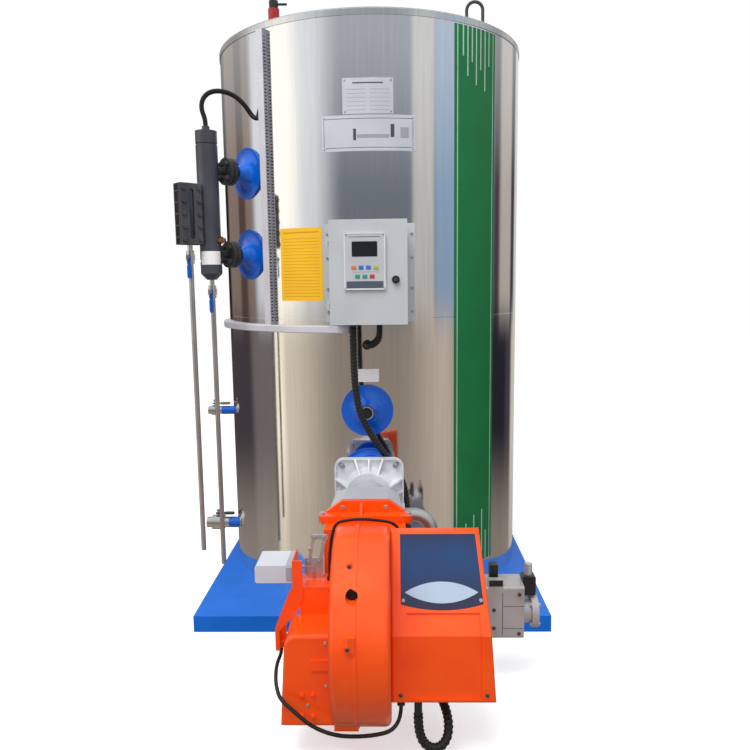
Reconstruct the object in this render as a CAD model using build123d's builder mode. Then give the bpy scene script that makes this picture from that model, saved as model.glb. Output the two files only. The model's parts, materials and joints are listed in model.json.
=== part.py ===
"""Vertical gas steam generator with a forced-draught burner, in millimetres.

The boiler's axis is the Z axis, the floor is z = 0 and the burner points to -Y, the front.
A reach is a distance in front of the boiler's axis, so a piece at reach 900 stands at y = -900.
An azimuth is measured from the front, in degrees, negative towards the left-hand side.
"""
import os
from math import cos, radians, sin, tan

from build123d import *

# Clearances
seat_gap = 0.3
pin_gap = 0.15
cut_overrun = 20.0

# Base frame
base_width = 1500.0
base_front_reach = 880.0
base_rear_reach = -750.0
channel_height = 63.0
channel_flange = 40.0
channel_web = 5.0
deck_thickness = 7.0

# Boiler shell
shell_radius = 725.0
seam_height = 1303.0
seam_chamfer = 2.0
roof_base = 2506.0
roof_thickness = 30.0
roof_lip = 3.0
roof_edge_radius = 8.0

# Roof fittings
flue_radius = 160.0
flue_wall = 6.0
flue_height = 180.0
flue_flange_radius = 195.0
flue_flange_thickness = 10.0
steam_pipe_radius = 38.0
steam_bore_radius = 33.0
steam_height = 130.0
steam_set_back = 420.0
steam_flange_radius = 92.5
steam_flange_thickness = 20.0
steam_bolt_circle_radius = 72.5
steam_bolt_hole_radius = 9.0
steam_bolt_count = 4
safety_place = (-438.0, -200.0)
safety_neck_radius = 20.0
safety_neck_height = 40.0
safety_body_radius = 34.0
safety_body_height = 64.0
safety_bonnet_radius = 26.0
safety_bonnet_height = 80.0
safety_outlet_radius = 20.0
safety_outlet_length = 64.0
safety_cap_radius = 21.0
safety_cap_height = 36.0
safety_lever_length = 62.0
safety_lever_width = 14.0
safety_lever_thickness = 6.0
loop_bar_radius = 7.0
loop_width = 84.0
loop_height = 132.0
loop_place = (473.0, -400.0)

# Wiring duct and cable belt
belt_base = 1246.0
belt_height = 30.0
belt_depth = 30.0
belt_edge_radius = 4.0
belt_start_azimuth = -112.0
belt_end_azimuth = -6.4
duct_azimuth = -36.0
duct_width = 35.0
duct_depth = 23.0
duct_wall = 2.0
duct_top = 2500.0
duct_slot_pitch = 13.8
duct_slot_height = 6.0
duct_slot_margin = 4.0
duct_slot_inset = 5.0

# Water-level column and its nozzles
level_azimuth = -47.0
level_upper_height = 1934.0
level_lower_rise = 307.0
dish_radius = 110.0
dish_rise = 52.0
dish_rim = 5.0
dish_neck_radius = 27.0
dish_waist_rise_share = 0.2
dish_waist_radius_share = 0.36
nozzle_pipe_radius = 17.0
nozzle_flange_radius = 57.0
nozzle_flange_thickness = 17.0
nozzle_flange_joint = 3.0
nozzle_flange_start = 26.0
column_reach = 920.0
column_radius = 45.0
column_base = 1474.0
column_top = 2090.0
column_end_radius = 20.0
column_taper = 26.0
column_ring_height = 7.0
column_ring_depth = 3.0
column_ring_inset = 54.0
column_gland_radius = 16.0
column_gland_height = 20.0

# Plate sight gauge beside the column
gauge_reach = 1016.0
gauge_width = 93.0
gauge_thickness = 62.0
gauge_base = 1620.0
gauge_height = 250.0
gauge_slot_width = 22.0
gauge_slot_height = 205.0
gauge_slot_depth = 9.0
gauge_joint_width = 3.0
gauge_joint_depth = 4.0
gauge_plate_thickness = 16.0
gauge_edge_radius = 4.0
gauge_nipple_radius = 13.0
gauge_nipple_inset = 30.0

# Drain valves and pipes below the column and the gauge
drain_neck_radius = 10.0
drain_neck_height = 24.0
drain_valve_length = 54.0
drain_end_radius = 16.0
drain_end_length = 14.0
drain_ball_radius = 19.0
drain_stem_radius = 4.5
drain_stem_reach = 34.0
drain_nut_radius = 7.5
drain_nut_height = 5.0
drain_lever_offset = 24.0
drain_lever_thickness = 4.0
drain_lever_width = 14.0
drain_lever_hub_radius = 10.0
drain_lever_length = 88.0
drain_grip_length = 58.0
drain_grip_thickness = 9.0
drain_grip_width = 17.0
drain_pipe_radius = 10.5
column_pipe_foot = 200.0
gauge_pipe_foot = 290.0

# Feed and blowdown valves on the left side, along -X
side_valve_reach = 100.0
feed_height = 810.0
feed_nipple_radius = 21.0
feed_nipple_end = 780.0
feed_valve_end = 850.0
feed_end_radius = 20.0
feed_ball_radius = 25.0
feed_bore_radius = 10.0
feed_bore_depth = 24.0
feed_lever_length = 76.0
blowdown_height = 211.0
blowdown_nipple_radius = 28.0
blowdown_nipple_end = 765.0
blowdown_valve_end = 882.0
blowdown_end_radius = 28.0
blowdown_ball_radius = 38.0
blowdown_bore_radius = 16.0
blowdown_bore_depth = 36.0
blowdown_lever_length = 84.0
side_end_share = 0.24
side_stem_radius = 6.0
side_stem_rise = 22.0
side_nut_radius = 10.0
side_nut_height = 7.0
side_lever_clearance = 8.0
side_lever_thickness = 5.0
side_lever_width = 20.0
side_lever_hub_radius = 14.0
side_grip_share = 0.62
side_grip_thickness = 11.0
side_grip_width = 22.0

# Control box
box_center_x = 10.0
box_base = 1293.0
door_width = 300.0
door_height = 400.0
door_depth = 16.0
door_front_reach = 955.0
door_skin = 2.0
door_gap = 5.0
box_inset = 7.0
box_wall = 2.0
wing_plate_reach = 742.0
wing_plate_width = 370.0
wing_plate_thickness = 3.0
wing_rail_width = 30.0
wing_rail_spacing = 220.0
hinge_axis_offset = 6.0
hinge_knuckle_radius = 5.0
hinge_pin_radius = 2.5
hinge_knuckle_length = 20.0
hinge_inset = 62.0
hinge_leaf_thickness = 3.0
hinge_leaf_clearance = 2.0
door_corner_radius = 3.0
panel_center_x = -3.0
panel_center_height = 1535.0
panel_width = 161.0
panel_height = 218.0
panel_thickness = 8.0
panel_corner_radius = 9.0
screen_width = 98.0
screen_height = 58.0
screen_recess = 2.0
screen_rise = 46.0
screen_corner_radius = 4.0
button_width = 19.0
button_height = 15.0
button_thickness = 2.0
button_pitch = 28.0
button_upper_drop = 23.0
button_lower_drop = 57.0
button_upper_count = 4
button_lower_count = 3
lock_place = (115.0, 1465.0)
lock_radius = 15.0
lock_thickness = 11.0
lock_boss_radius = 8.0
lock_boss_thickness = 4.0

# Sight port above the burner
port_azimuth = -0.7
port_height = 917.0
port_dish_rise = 40.0
port_tube_radius = 28.0
port_bore_radius = 22.0
port_tube_length = 36.0
port_bore_depth = 30.0

# Burner neck, flange and head
burner_height = 612.0
neck_dish_radius = 140.0
neck_dish_rise = 36.0
neck_radius = 104.0
neck_flange_radius = 134.0
neck_flange_thickness = 12.0
burner_flange_reach = 880.0
burner_flange_size = 280.0
burner_flange_thickness = 12.0
burner_flange_corner = 40.0
burner_rim_width = 7.0
burner_rim_rise = 9.0
burner_hub_foot_radius = 104.0
burner_hub_radius = 92.0
burner_hub_length = 68.0
burner_rib_thickness = 7.0
burner_rib_side_angle = 90.0
burner_rib_fan_angle = 22.5
burner_slot_radius = 155.0
burner_slot_length = 30.0
burner_slot_width = 14.0
burner_slot_count = 4
head_length = 305.0
head_tube_radius = 68.0
head_tube_share = 0.46
head_rear_half_width = 118.0
head_front_half_width = 126.0
head_half_height = 80.0
head_shoulder_width = 44.0
head_shoulder_drop = 24.0
head_boss_radius = 44.0
head_boss_set_back = 75.0
head_boss_end = 138.0

# Yoke flange and fan scroll, set out from the yoke's front and the burner's axis
yoke_thickness = 25.0
yoke_half_width = 140.0
yoke_half_height = 86.0
yoke_top_half_width = 85.0
yoke_shoulder_rise = 46.0
ledge_half_width = 161.0
ledge_depth = 47.0
ledge_rise = 21.0
ledge_height = 25.0
ledge_corner_radius = 12.0
ledge_rib_center_x = -15.0
ledge_rib_width = 9.0
ledge_rib_rise = 36.0
throat_half_width = 138.0
throat_depth = 110.0
throat_height = 153.0
scroll_left = -90.0
scroll_right = 86.0
scroll_forward = 260.0
scroll_drop = 228.0
scroll_radius = 302.0
scroll_crest_angle = 20.0
scroll_outlet_drop = 52.0
scroll_outlet_height = 58.0
scroll_edge_radius = 20.0
scroll_rib_center_x = -17.0
scroll_rib_width = 12.0
scroll_rib_rise = 5.0
scroll_port_rise = 190.0
scroll_port_center_x = -24.0
scroll_port_radius = 18.0
scroll_boss_center_x = -33.0
scroll_boss_rise = 254.0
scroll_boss_forward = 172.0
scroll_boss_radius = 9.0
scroll_latch_center_x = -24.0
scroll_latch_rise = 81.0
scroll_latch_width = 20.0
scroll_latch_height = 44.0
scroll_latch_forward = 307.0
scroll_latch_ear_radius = 9.0
scroll_foot_width = 74.0
scroll_foot_center_x = -51.0
scroll_foot_forward = 140.0
scroll_foot_depth = 40.0
scroll_foot_rise = 40.0
scroll_foot_drop = 272.0

# Air intake box, servo and damper linkage, set out from the scroll's centre
intake_left_crown = -236.0
intake_left_foot = -254.0
intake_forward = 140.0
intake_step_backward = 3.0
intake_backward = 110.0
intake_below = 271.0
intake_above = 24.0
intake_step_above = 113.0
intake_step_left = -205.0
intake_corner_radius = 40.0
intake_edge_radius = 11.0
intake_pad_left = -157.0
intake_pad_right = -104.0
intake_pad_drop = 69.0
intake_pad_height = 34.0
intake_boss_center_x = -169.0
intake_boss_drop = 199.0
intake_boss_pitch = 33.0
intake_boss_spread = 67.0
intake_boss_radius = 8.0
intake_relief_rise = 5.0
bracket_left = -286.0
bracket_width = 92.0
bracket_foot_drop = 100.0
bracket_height = 302.0
bracket_thickness = 4.0
bracket_strip_share = 0.65
bracket_outline_shares = [
    (0.65, 1.0), (1.0, 1.0), (1.0, 0.59), (0.8, 0.43), (0.15, 0.225), (0.15, 0.0), (0.0, 0.0), (0.0, 0.25),
    (0.5, 0.64), (0.65, 0.715),
]
bracket_flange_base_share = 0.715
bracket_flange_depth = 107.0
bracket_trough_depth = 42.0
bracket_trough_width = 30.0
bracket_trough_share = 0.225
servo_width = 125.0
servo_height = 58.0
servo_above = 115.0
servo_set_back = 27.0
servo_depth = 128.0
servo_corner_radius = 7.0
link_center_x = -165.0
link_forward = -80.0
link_thickness = 8.0
link_cam_size = 60.0
link_cam_clearance = 9.0
link_corner_radius = 12.0
link_arm_width = 11.0
link_arm_length = 108.0
link_arm_spacing = 36.0
link_arm_lean = 11.0
link_head_width = 56.0
link_head_height = 15.0
link_rod_radius = 5.0

# Electrical panel cover of the burner, set out from the scroll's centre
cover_right_foot = 402.0
cover_right_crown = 372.0
cover_rear_backward = 88.0
cover_crown_backward = 60.0
cover_shoulder_forward = 140.0
cover_foot_forward = 150.0
cover_foot_drop = 188.0
cover_shoulder_above = 21.0
cover_crown_above = 277.0
cover_edge_radius = 8.0
front_facing_share = 0.5
cover_rail_left = 48.0
cover_rail_right = 45.0
cover_rim = 14.0
cover_recess_depth = 7.0
cover_recess_rise = 68.0
window_left_margin = 31.0
window_right_margin = 14.0
window_top_margin = 10.0
window_low = 94.0
window_sag = 18.0
window_recess = 4.0
window_thickness = 3.5
cable_gland_radius = 12.0
cable_gland_length = 18.0
servo_gland_radius = 9.0

# Gas train
gas_drop = 365.0
gas_pipe_radius = 27.0
gas_pipe_riser_x = 232.0
gas_pipe_bend = 62.0
gas_valve_left = 420.0
gas_valve_right = 566.0
gas_valve_below = 81.0
gas_valve_above = 116.0
gas_valve_depth = 124.0
gas_valve_edge = 10.0
gas_display_left = 437.0
gas_display_width = 53.0
gas_display_height = 26.0
gas_display_depth = 26.0
gas_flange_radius = 60.0
gas_flange_thickness = 24.0
gas_flange_end = 622.0
gas_neck_radius = 44.0
gas_bore_radius = 25.0
gas_bore_depth = 50.0
plug_width = 48.0
plug_depth = 46.0
plug_height = 72.0
plug_rise = 66.0
plug_corner_radius = 6.0
plug_cap_radius = 12.0
plug_cap_height = 40.0
connector_left = 447.0
connector_width = 30.0
connector_depth = 36.0
connector_height = 64.0

# Cables: their sizes, then the points of their routes
column_cable_radius = 10.0
burner_conduit_radius = 15.0
motor_cable_radius = 6.0
servo_cable_radius = 5.0
loop_conduit_radius = 11.0
bend_share = 0.45
box_gland_radius = 20.0
box_gland_length = 14.0
column_cable_points = [
    (-672.8, -627.4, 2110.0), (-672.8, -627.4, 2140.0), (-688.0, -632.0, 2182.0), (-678.0, -634.0, 2224.0),
    (-646.0, -628.0, 2250.0), (-602.0, -614.0, 2255.0), (-556.0, -594.0, 2242.0), (-520.0, -572.0, 2212.0),
    (-497.0, -556.0, 2176.0), (-476.4, -564.6, 2150.0), (-447.3, -585.8, 2150.0),
]
conduit_drop_points = [
    (-58.0, -850.0, 1286.0), (-58.0, -850.0, 1170.0), (-54.0, -846.0, 1040.0), (-40.0, -845.0, 940.0),
    (-4.0, -845.0, 858.0), (44.0, -845.0, 782.0), (96.0, -845.0, 712.0), (140.0, -846.0, 636.0),
    (152.0, -856.0, 548.0), (155.0, -894.0, 452.0), (158.0, -968.0, 362.0), (160.0, -1078.0, 288.0),
    (163.0, -1205.0, 230.0),
]
# The conduit's end: x, then forward of the scroll's centre, then the height
conduit_end_shape = [
    (176.0, -220.0, 184.0), (205.0, -100.0, 152.0), (240.0, 2.0, 136.0), (262.0, 70.0, 112.0),
    (262.0, 112.0, 72.0), (240.0, 132.0, 44.0), (206.0, 137.0, 40.0), (178.0, 135.0, 64.0),
    (167.0, 130.0, 108.0), (167.0, 130.0, 150.0),
]
# Burner routes: x, then forward of the scroll's centre, then above it
motor_cable_shape = [
    (-272.0, -30.0, -100.0), (-272.0, -30.0, -122.0), (-282.0, 10.0, -138.0), (-278.0, 62.0, -148.0),
    (-269.0, 110.0, -154.0), (-250.0, 162.0, -166.0), (-208.0, 181.0, -192.0), (-155.0, 188.0, -237.0),
    (-83.0, 190.0, -266.0), (-14.0, 188.0, -270.0), (38.0, 180.0, -270.0), (82.0, 166.0, -268.0),
    (106.0, 146.0, -252.0), (115.0, 128.0, -226.0), (115.0, 128.0, -204.0),
]
servo_cable_shape = [
    (-112.0, -60.0, 125.0), (-112.0, -60.0, 156.0), (-112.0, -74.0, 202.0), (-106.0, -91.0, 246.0),
    (-94.0, -100.0, 292.0), (-46.0, -102.0, 301.0), (-5.0, -102.0, 303.0), (40.0, -100.0, 300.0),
    (78.0, -107.0, 293.0), (102.0, -120.0, 278.0), (116.0, -130.0, 256.0), (122.0, -132.0, 222.0),
    (122.0, -97.0, 222.0),
]
loop_conduit_points = [
    (50.0, -800.0, 1286.0), (50.0, -800.0, 1252.0), (47.0, -800.0, 1222.0), (28.0, -796.0, 1202.0),
    (8.0, -784.0, 1194.0), (-6.0, -764.0, 1196.0), (-6.0, -742.0, 1196.0),
]

# Values worked out from the sizes above
base_height = channel_height + deck_thickness
base_depth = base_front_reach - base_rear_reach
roof_height = roof_base + roof_thickness
shell_seat = shell_radius + seat_gap
belt_top = belt_base + belt_height
box_left = box_center_x - door_width / 2
box_top = box_base + door_height
door_rear_reach = door_front_reach - door_depth
box_front_reach = door_rear_reach - door_gap
box_rear_reach = wing_plate_reach + wing_plate_thickness
level_lower_height = belt_top + level_lower_rise
flange_front = burner_flange_reach + burner_flange_thickness
burner_hub_reach = flange_front + burner_hub_length
head_box_reach = burner_hub_reach + head_length * head_tube_share
head_front_reach = burner_hub_reach + head_length
yoke_front_reach = head_front_reach + yoke_thickness
scroll_reach = yoke_front_reach + scroll_forward
scroll_height = burner_height - scroll_drop
intake_front_reach = scroll_reach + intake_forward
intake_step_reach = scroll_reach - intake_step_backward
intake_base = scroll_height - intake_below
intake_top = scroll_height + intake_above
intake_step_top = scroll_height + intake_step_above
strip_left = bracket_left + bracket_width * bracket_strip_share
cover_rear_reach = scroll_reach - cover_rear_backward
cover_crown_reach = scroll_reach - cover_crown_backward
cover_shoulder_reach = scroll_reach + cover_shoulder_forward
cover_foot_reach = scroll_reach + cover_foot_forward
cover_foot_height = scroll_height - cover_foot_drop
cover_shoulder_height = scroll_height + cover_shoulder_above
cover_crown_height = scroll_height + cover_crown_above
gas_reach = head_front_reach - head_boss_set_back
motor_cable_points = [(x, -scroll_reach - ahead, scroll_height + rise) for x, ahead, rise in motor_cable_shape]
servo_cable_points = [(x, -scroll_reach - ahead, scroll_height + rise) for x, ahead, rise in servo_cable_shape]
burner_conduit_points = conduit_drop_points + [
    (x, -scroll_reach - ahead, height) for x, ahead, height in conduit_end_shape
]
gas_height = burner_height - gas_drop
gas_valve_top = gas_height + gas_valve_above


def outward(azimuth):
    """Unit vector that points away from the boiler's axis at an azimuth."""
    return Vector(sin(radians(azimuth)), -cos(radians(azimuth)), 0)


def along_shell(azimuth):
    """Unit vector along the shell at an azimuth, to the right as seen from outside."""
    return Vector(cos(radians(azimuth)), sin(radians(azimuth)), 0)


def facing_plane(azimuth, height, reach):
    """Plane that faces outwards at an azimuth, with its y axis up."""
    return Plane(outward(azimuth) * reach + Vector(0, 0, height), along_shell(azimuth), outward(azimuth))


def section_plane(azimuth, height):
    """Upright plane through the boiler's axis, with x outwards and y up."""
    return Plane((0, 0, height), outward(azimuth), -along_shell(azimuth))


def front_plane(reach, height=0):
    """Plane that faces the front, with x to the right and y up."""
    return facing_plane(0, height, reach)


def side_plane(x):
    """Plane that faces left, with x towards the front and y up."""
    return Plane((x, 0, 0), (0, -1, 0), (-1, 0, 0))


def upright_axis(place):
    """Vertical axis through a place in plan."""
    return Axis((place[0], place[1], 0), (0, 0, 1))


def half_profile_plane(place, height):
    """Upright plane through a vertical axis, with x to the right and y up."""
    return Plane((place[0], place[1], height), (1, 0, 0), (0, -1, 0))


def cut_shell_seat():
    """Cut the shell's round, with its seat gap, out of the piece being built."""
    Cylinder(shell_seat, roof_height, align=(Align.CENTER, Align.CENTER, Align.MIN), mode=Mode.SUBTRACT)


def dish_outline(radius, rise, neck_radius_value):
    """Half section of a spun dish that flares from its neck to the shell, x outwards and y across."""
    foot = shell_radius * cos(radius / shell_radius) - dish_rim
    rim = shell_radius + dish_rim
    crown = shell_radius + rise
    waist = Vector(rim + rise * dish_waist_rise_share, neck_radius_value + (radius - neck_radius_value)
                   * dish_waist_radius_share)
    Polyline((foot, 0), (foot, radius), (rim, radius))
    ThreePointArc((rim, radius), waist, (crown, neck_radius_value))
    Polyline((crown, neck_radius_value), (crown, 0), (foot, 0))


def cable_route(points):
    """Straight runs and tangent arcs through a cable's points, each arc as large as its runs allow."""
    points = [Vector(*point) for point in points]
    radii = []
    for before, corner, after in zip(points, points[1:], points[2:]):
        shorter_run = min((corner - before).length, (after - corner).length)
        turn = (corner - before).get_angle(after - corner)
        radii.append(bend_share * shorter_run / tan(radians(turn / 2)))
    return points, radii


def report_cable(name, cable, radius, length, radii):
    """Print a cable's length, its bend radii and its volume as a share of section times length."""
    section = radius * radius * radians(180)
    share = cable.part.volume / (section * length)
    bends = ", ".join(f"{bend:.0f}" for bend in radii)
    print(f"{name}: length {length:.0f}, volume share {share:.4f}, radii {bends}")


def write_piece(builder, name):
    """Label a finished piece and write it to its own file."""
    builder.part.label = name
    export_step(builder.part, f"parts/{name}.step")


os.makedirs("parts", exist_ok=True)

# Base frame: a deck on four edge channels and a cross channel under the boiler
with BuildPart() as base_deck:
    with BuildSketch(Plane.XY.offset(channel_height)):
        with Locations((0, -(base_front_reach + base_rear_reach) / 2)):
            Rectangle(base_width, base_depth)
    extrude(amount=deck_thickness)
write_piece(base_deck, "base_deck")

half_base = base_width / 2
side_run = base_depth - 2 * channel_flange
cross_run = base_width - 2 * channel_flange
channel_runs = {
    "front": (Plane((-half_base, -base_front_reach, 0), (0, 1, 0), (1, 0, 0)), base_width),
    "rear": (Plane((half_base, -base_rear_reach, 0), (0, -1, 0), (-1, 0, 0)), base_width),
    "left": (Plane((-half_base, -base_rear_reach - channel_flange, 0), (1, 0, 0), (0, -1, 0)), side_run),
    "right": (Plane((half_base, channel_flange - base_front_reach, 0), (-1, 0, 0), (0, 1, 0)), side_run),
    "cross": (Plane((-cross_run / 2, -channel_flange / 2, 0), (0, 1, 0), (1, 0, 0)), cross_run),
}
for side, (plane, run) in channel_runs.items():
    with BuildPart() as base_channel:
        with BuildSketch(plane):
            Rectangle(channel_flange, channel_height, align=(Align.MIN, Align.MIN))
            with Locations((channel_web, channel_web)):
                Rectangle(channel_flange, channel_height - 2 * channel_web, align=(Align.MIN, Align.MIN),
                          mode=Mode.SUBTRACT)
        extrude(amount=run)
    write_piece(base_channel, f"base_{side}_channel")

# Boiler shell: two jacket courses, closed and insulated, under a roof cover
with BuildPart() as lower_jacket:
    with BuildSketch(Plane.XY.offset(base_height)):
        Circle(shell_radius)
    extrude(amount=seam_height - base_height)
    chamfer(lower_jacket.edges().group_by(Axis.Z)[-1], length=seam_chamfer)
write_piece(lower_jacket, "lower_jacket")

with BuildPart() as upper_jacket:
    with BuildSketch(Plane.XY.offset(seam_height)):
        Circle(shell_radius)
    extrude(amount=roof_base - seam_height)
    chamfer(upper_jacket.edges().group_by(Axis.Z)[0], length=seam_chamfer)
write_piece(upper_jacket, "upper_jacket")

with BuildPart() as roof_cover:
    with BuildSketch(Plane.XY.offset(roof_base)):
        Circle(shell_radius + roof_lip)
    extrude(amount=roof_thickness)
    fillet(roof_cover.edges().group_by(Axis.Z)[-1], radius=roof_edge_radius)
write_piece(roof_cover, "roof_cover")

# Roof fittings
with BuildPart() as flue_collar:
    with BuildSketch(Plane.XY.offset(roof_height)):
        Circle(flue_radius)
        Circle(flue_radius - flue_wall, mode=Mode.SUBTRACT)
    extrude(amount=flue_height)
    with BuildSketch(Plane.XY.offset(roof_height + flue_height - flue_flange_thickness)):
        Circle(flue_flange_radius)
        Circle(flue_radius - flue_wall, mode=Mode.SUBTRACT)
    extrude(amount=flue_flange_thickness)
write_piece(flue_collar, "flue_collar")

with BuildPart() as steam_outlet:
    with BuildSketch(Plane.XY.offset(roof_height)):
        with Locations((0, steam_set_back)):
            Circle(steam_pipe_radius)
    extrude(amount=steam_height)
    with BuildSketch(Plane.XY.offset(roof_height + steam_height - steam_flange_thickness)):
        with Locations((0, steam_set_back)):
            Circle(steam_flange_radius)
            with PolarLocations(steam_bolt_circle_radius, steam_bolt_count, start_angle=180 / steam_bolt_count):
                Circle(steam_bolt_hole_radius, mode=Mode.SUBTRACT)
    extrude(amount=steam_flange_thickness)
    with BuildSketch(Plane.XY.offset(roof_height + steam_flange_thickness)):
        with Locations((0, steam_set_back)):
            Circle(steam_bore_radius)
    extrude(amount=steam_height, mode=Mode.SUBTRACT)
write_piece(steam_outlet, "steam_outlet")

body_base = safety_neck_height
bonnet_base = body_base + safety_body_height
safety_top = bonnet_base + safety_bonnet_height
with BuildPart() as safety_valve:
    with BuildSketch(half_profile_plane(safety_place, roof_height)):
        with BuildLine():
            Polyline(
                (0, 0), (safety_neck_radius, 0), (safety_neck_radius, body_base),
                (safety_body_radius, body_base), (safety_body_radius, bonnet_base),
                (safety_bonnet_radius, bonnet_base), (safety_bonnet_radius, safety_top),
                (0, safety_top), (0, 0),
            )
        make_face()
    revolve(axis=upright_axis(safety_place))
    outlet_height = roof_height + body_base + safety_body_height / 2
    with BuildSketch(Plane((safety_place[0], safety_place[1], outlet_height), (0, 1, 0), (-1, 0, 0))):
        Circle(safety_outlet_radius)
    extrude(amount=safety_outlet_length)
write_piece(safety_valve, "safety_valve")

with BuildPart() as safety_valve_cap:
    with BuildSketch(Plane.XY.offset(roof_height + safety_top)):
        with Locations(safety_place):
            Circle(safety_cap_radius)
    extrude(amount=safety_cap_height)
    with BuildSketch(Plane.XY.offset(roof_height + safety_top + safety_cap_height / 2)):
        with Locations(safety_place):
            Rectangle(safety_lever_length, safety_lever_width, align=(Align.MIN, Align.CENTER))
    extrude(amount=safety_lever_thickness)
write_piece(safety_valve_cap, "safety_valve_cap")

with BuildPart() as lifting_loops:
    half_loop = loop_width / 2 - loop_bar_radius
    for turn in (1, -1):
        foot = Vector(turn * loop_place[0], turn * loop_place[1], roof_height)
        with BuildLine(Plane(foot, (1, 0, 0), (0, -1, 0))) as loop_path:
            spring = loop_height - loop_bar_radius - half_loop
            Polyline((-half_loop, 0), (-half_loop, spring))
            ThreePointArc((-half_loop, spring), (0, spring + half_loop), (half_loop, spring))
            Polyline((half_loop, spring), (half_loop, 0))
        with BuildSketch(Plane(foot + Vector(-half_loop, 0, 0))):
            Circle(loop_bar_radius)
        sweep(path=loop_path.wire())
write_piece(lifting_loops, "lifting_loops")

# Cable belt round the shell and the slotted wiring duct that stands on it
with BuildPart() as cable_belt:
    with BuildSketch(section_plane(belt_start_azimuth, belt_base)):
        with Locations((shell_seat, 0)):
            Rectangle(belt_depth, belt_height, align=(Align.MIN, Align.MIN))
    revolve(axis=Axis.Z, revolution_arc=belt_end_azimuth - belt_start_azimuth)
    fillet(cable_belt.edges().filter_by(GeomType.CIRCLE).sort_by(lambda edge: edge.radius)[-2:],
           radius=belt_edge_radius)
write_piece(cable_belt, "cable_belt")

duct_run = duct_top - belt_top
with BuildPart() as wire_duct:
    with BuildSketch(facing_plane(duct_azimuth, belt_top, shell_seat)):
        Rectangle(duct_width, duct_run, align=(Align.CENTER, Align.MIN))
    extrude(amount=duct_depth)
    with BuildSketch(facing_plane(duct_azimuth, belt_top, shell_seat + duct_wall)):
        Rectangle(duct_width - 2 * duct_wall, duct_run, align=(Align.CENTER, Align.MIN))
    extrude(amount=duct_depth, mode=Mode.SUBTRACT)
    slot_depth = duct_depth - duct_slot_inset - duct_slot_margin
    slot_count = int((duct_run - 2 * duct_slot_inset) / duct_slot_pitch)
    slot_side = Plane(
        outward(duct_azimuth) * (shell_seat + duct_slot_inset + slot_depth / 2)
        + Vector(0, 0, belt_top + duct_run / 2),
        outward(duct_azimuth), -along_shell(duct_azimuth),
    )
    with BuildSketch(slot_side):
        with GridLocations(duct_slot_pitch, duct_slot_pitch, 1, slot_count):
            Rectangle(slot_depth, duct_slot_height)
    extrude(amount=duct_width, both=True, mode=Mode.SUBTRACT)
write_piece(wire_duct, "wire_duct")

with BuildPart() as wire_duct_cover:
    with BuildSketch(facing_plane(duct_azimuth, belt_top, shell_seat + duct_depth)):
        Rectangle(duct_width, duct_run, align=(Align.CENTER, Align.MIN))
    extrude(amount=duct_wall)
write_piece(wire_duct_cover, "wire_duct_cover")

# Level nozzles: spun dishes, bolted flange pairs and the column that they carry
with BuildPart() as nozzle_cones:
    for height in (level_upper_height, level_lower_height):
        with BuildSketch(section_plane(level_azimuth, height)):
            with BuildLine():
                dish_outline(dish_radius, dish_rise, dish_neck_radius)
            make_face()
        revolve(axis=Axis((0, 0, height), outward(level_azimuth)))
    cut_shell_seat()
write_piece(nozzle_cones, "nozzle_cones")

column_place = outward(level_azimuth) * column_reach
flange_start = shell_radius + dish_rise + nozzle_flange_start
flange_end = flange_start + 2 * nozzle_flange_thickness + nozzle_flange_joint
with BuildPart() as nozzle_flanges:
    for height in (level_upper_height, level_lower_height):
        with BuildSketch(facing_plane(level_azimuth, height, shell_radius + dish_rise)):
            Circle(nozzle_pipe_radius)
        extrude(amount=column_reach - shell_radius - dish_rise)
        for start in (flange_start, flange_end - nozzle_flange_thickness):
            with BuildSketch(facing_plane(level_azimuth, height, start)):
                Circle(nozzle_flange_radius)
            extrude(amount=nozzle_flange_thickness)
    with Locations((column_place.X, column_place.Y, column_base)):
        Cylinder(column_radius + seat_gap, column_top - column_base,
                 align=(Align.CENTER, Align.CENTER, Align.MIN), mode=Mode.SUBTRACT)
write_piece(nozzle_flanges, "nozzle_flanges")

column_axis = upright_axis((column_place.X, column_place.Y))
column_height = column_top - column_base
with BuildPart() as level_column:
    with BuildSketch(half_profile_plane((column_place.X, column_place.Y), column_base)):
        with BuildLine():
            Polyline(
                (0, 0), (column_end_radius, 0), (column_radius, column_taper),
                (column_radius, column_height), (0, column_height), (0, 0),
            )
        make_face()
        for ring_height in (column_taper + column_ring_inset, column_height - column_ring_inset):
            with Locations((column_radius, ring_height)):
                Rectangle(2 * column_ring_depth, column_ring_height, mode=Mode.SUBTRACT)
    revolve(axis=column_axis)
    with BuildSketch(Plane.XY.offset(column_top)):
        with Locations((column_place.X, column_place.Y)):
            Circle(column_gland_radius)
    extrude(amount=column_gland_height)
write_piece(level_column, "level_column")

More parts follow.
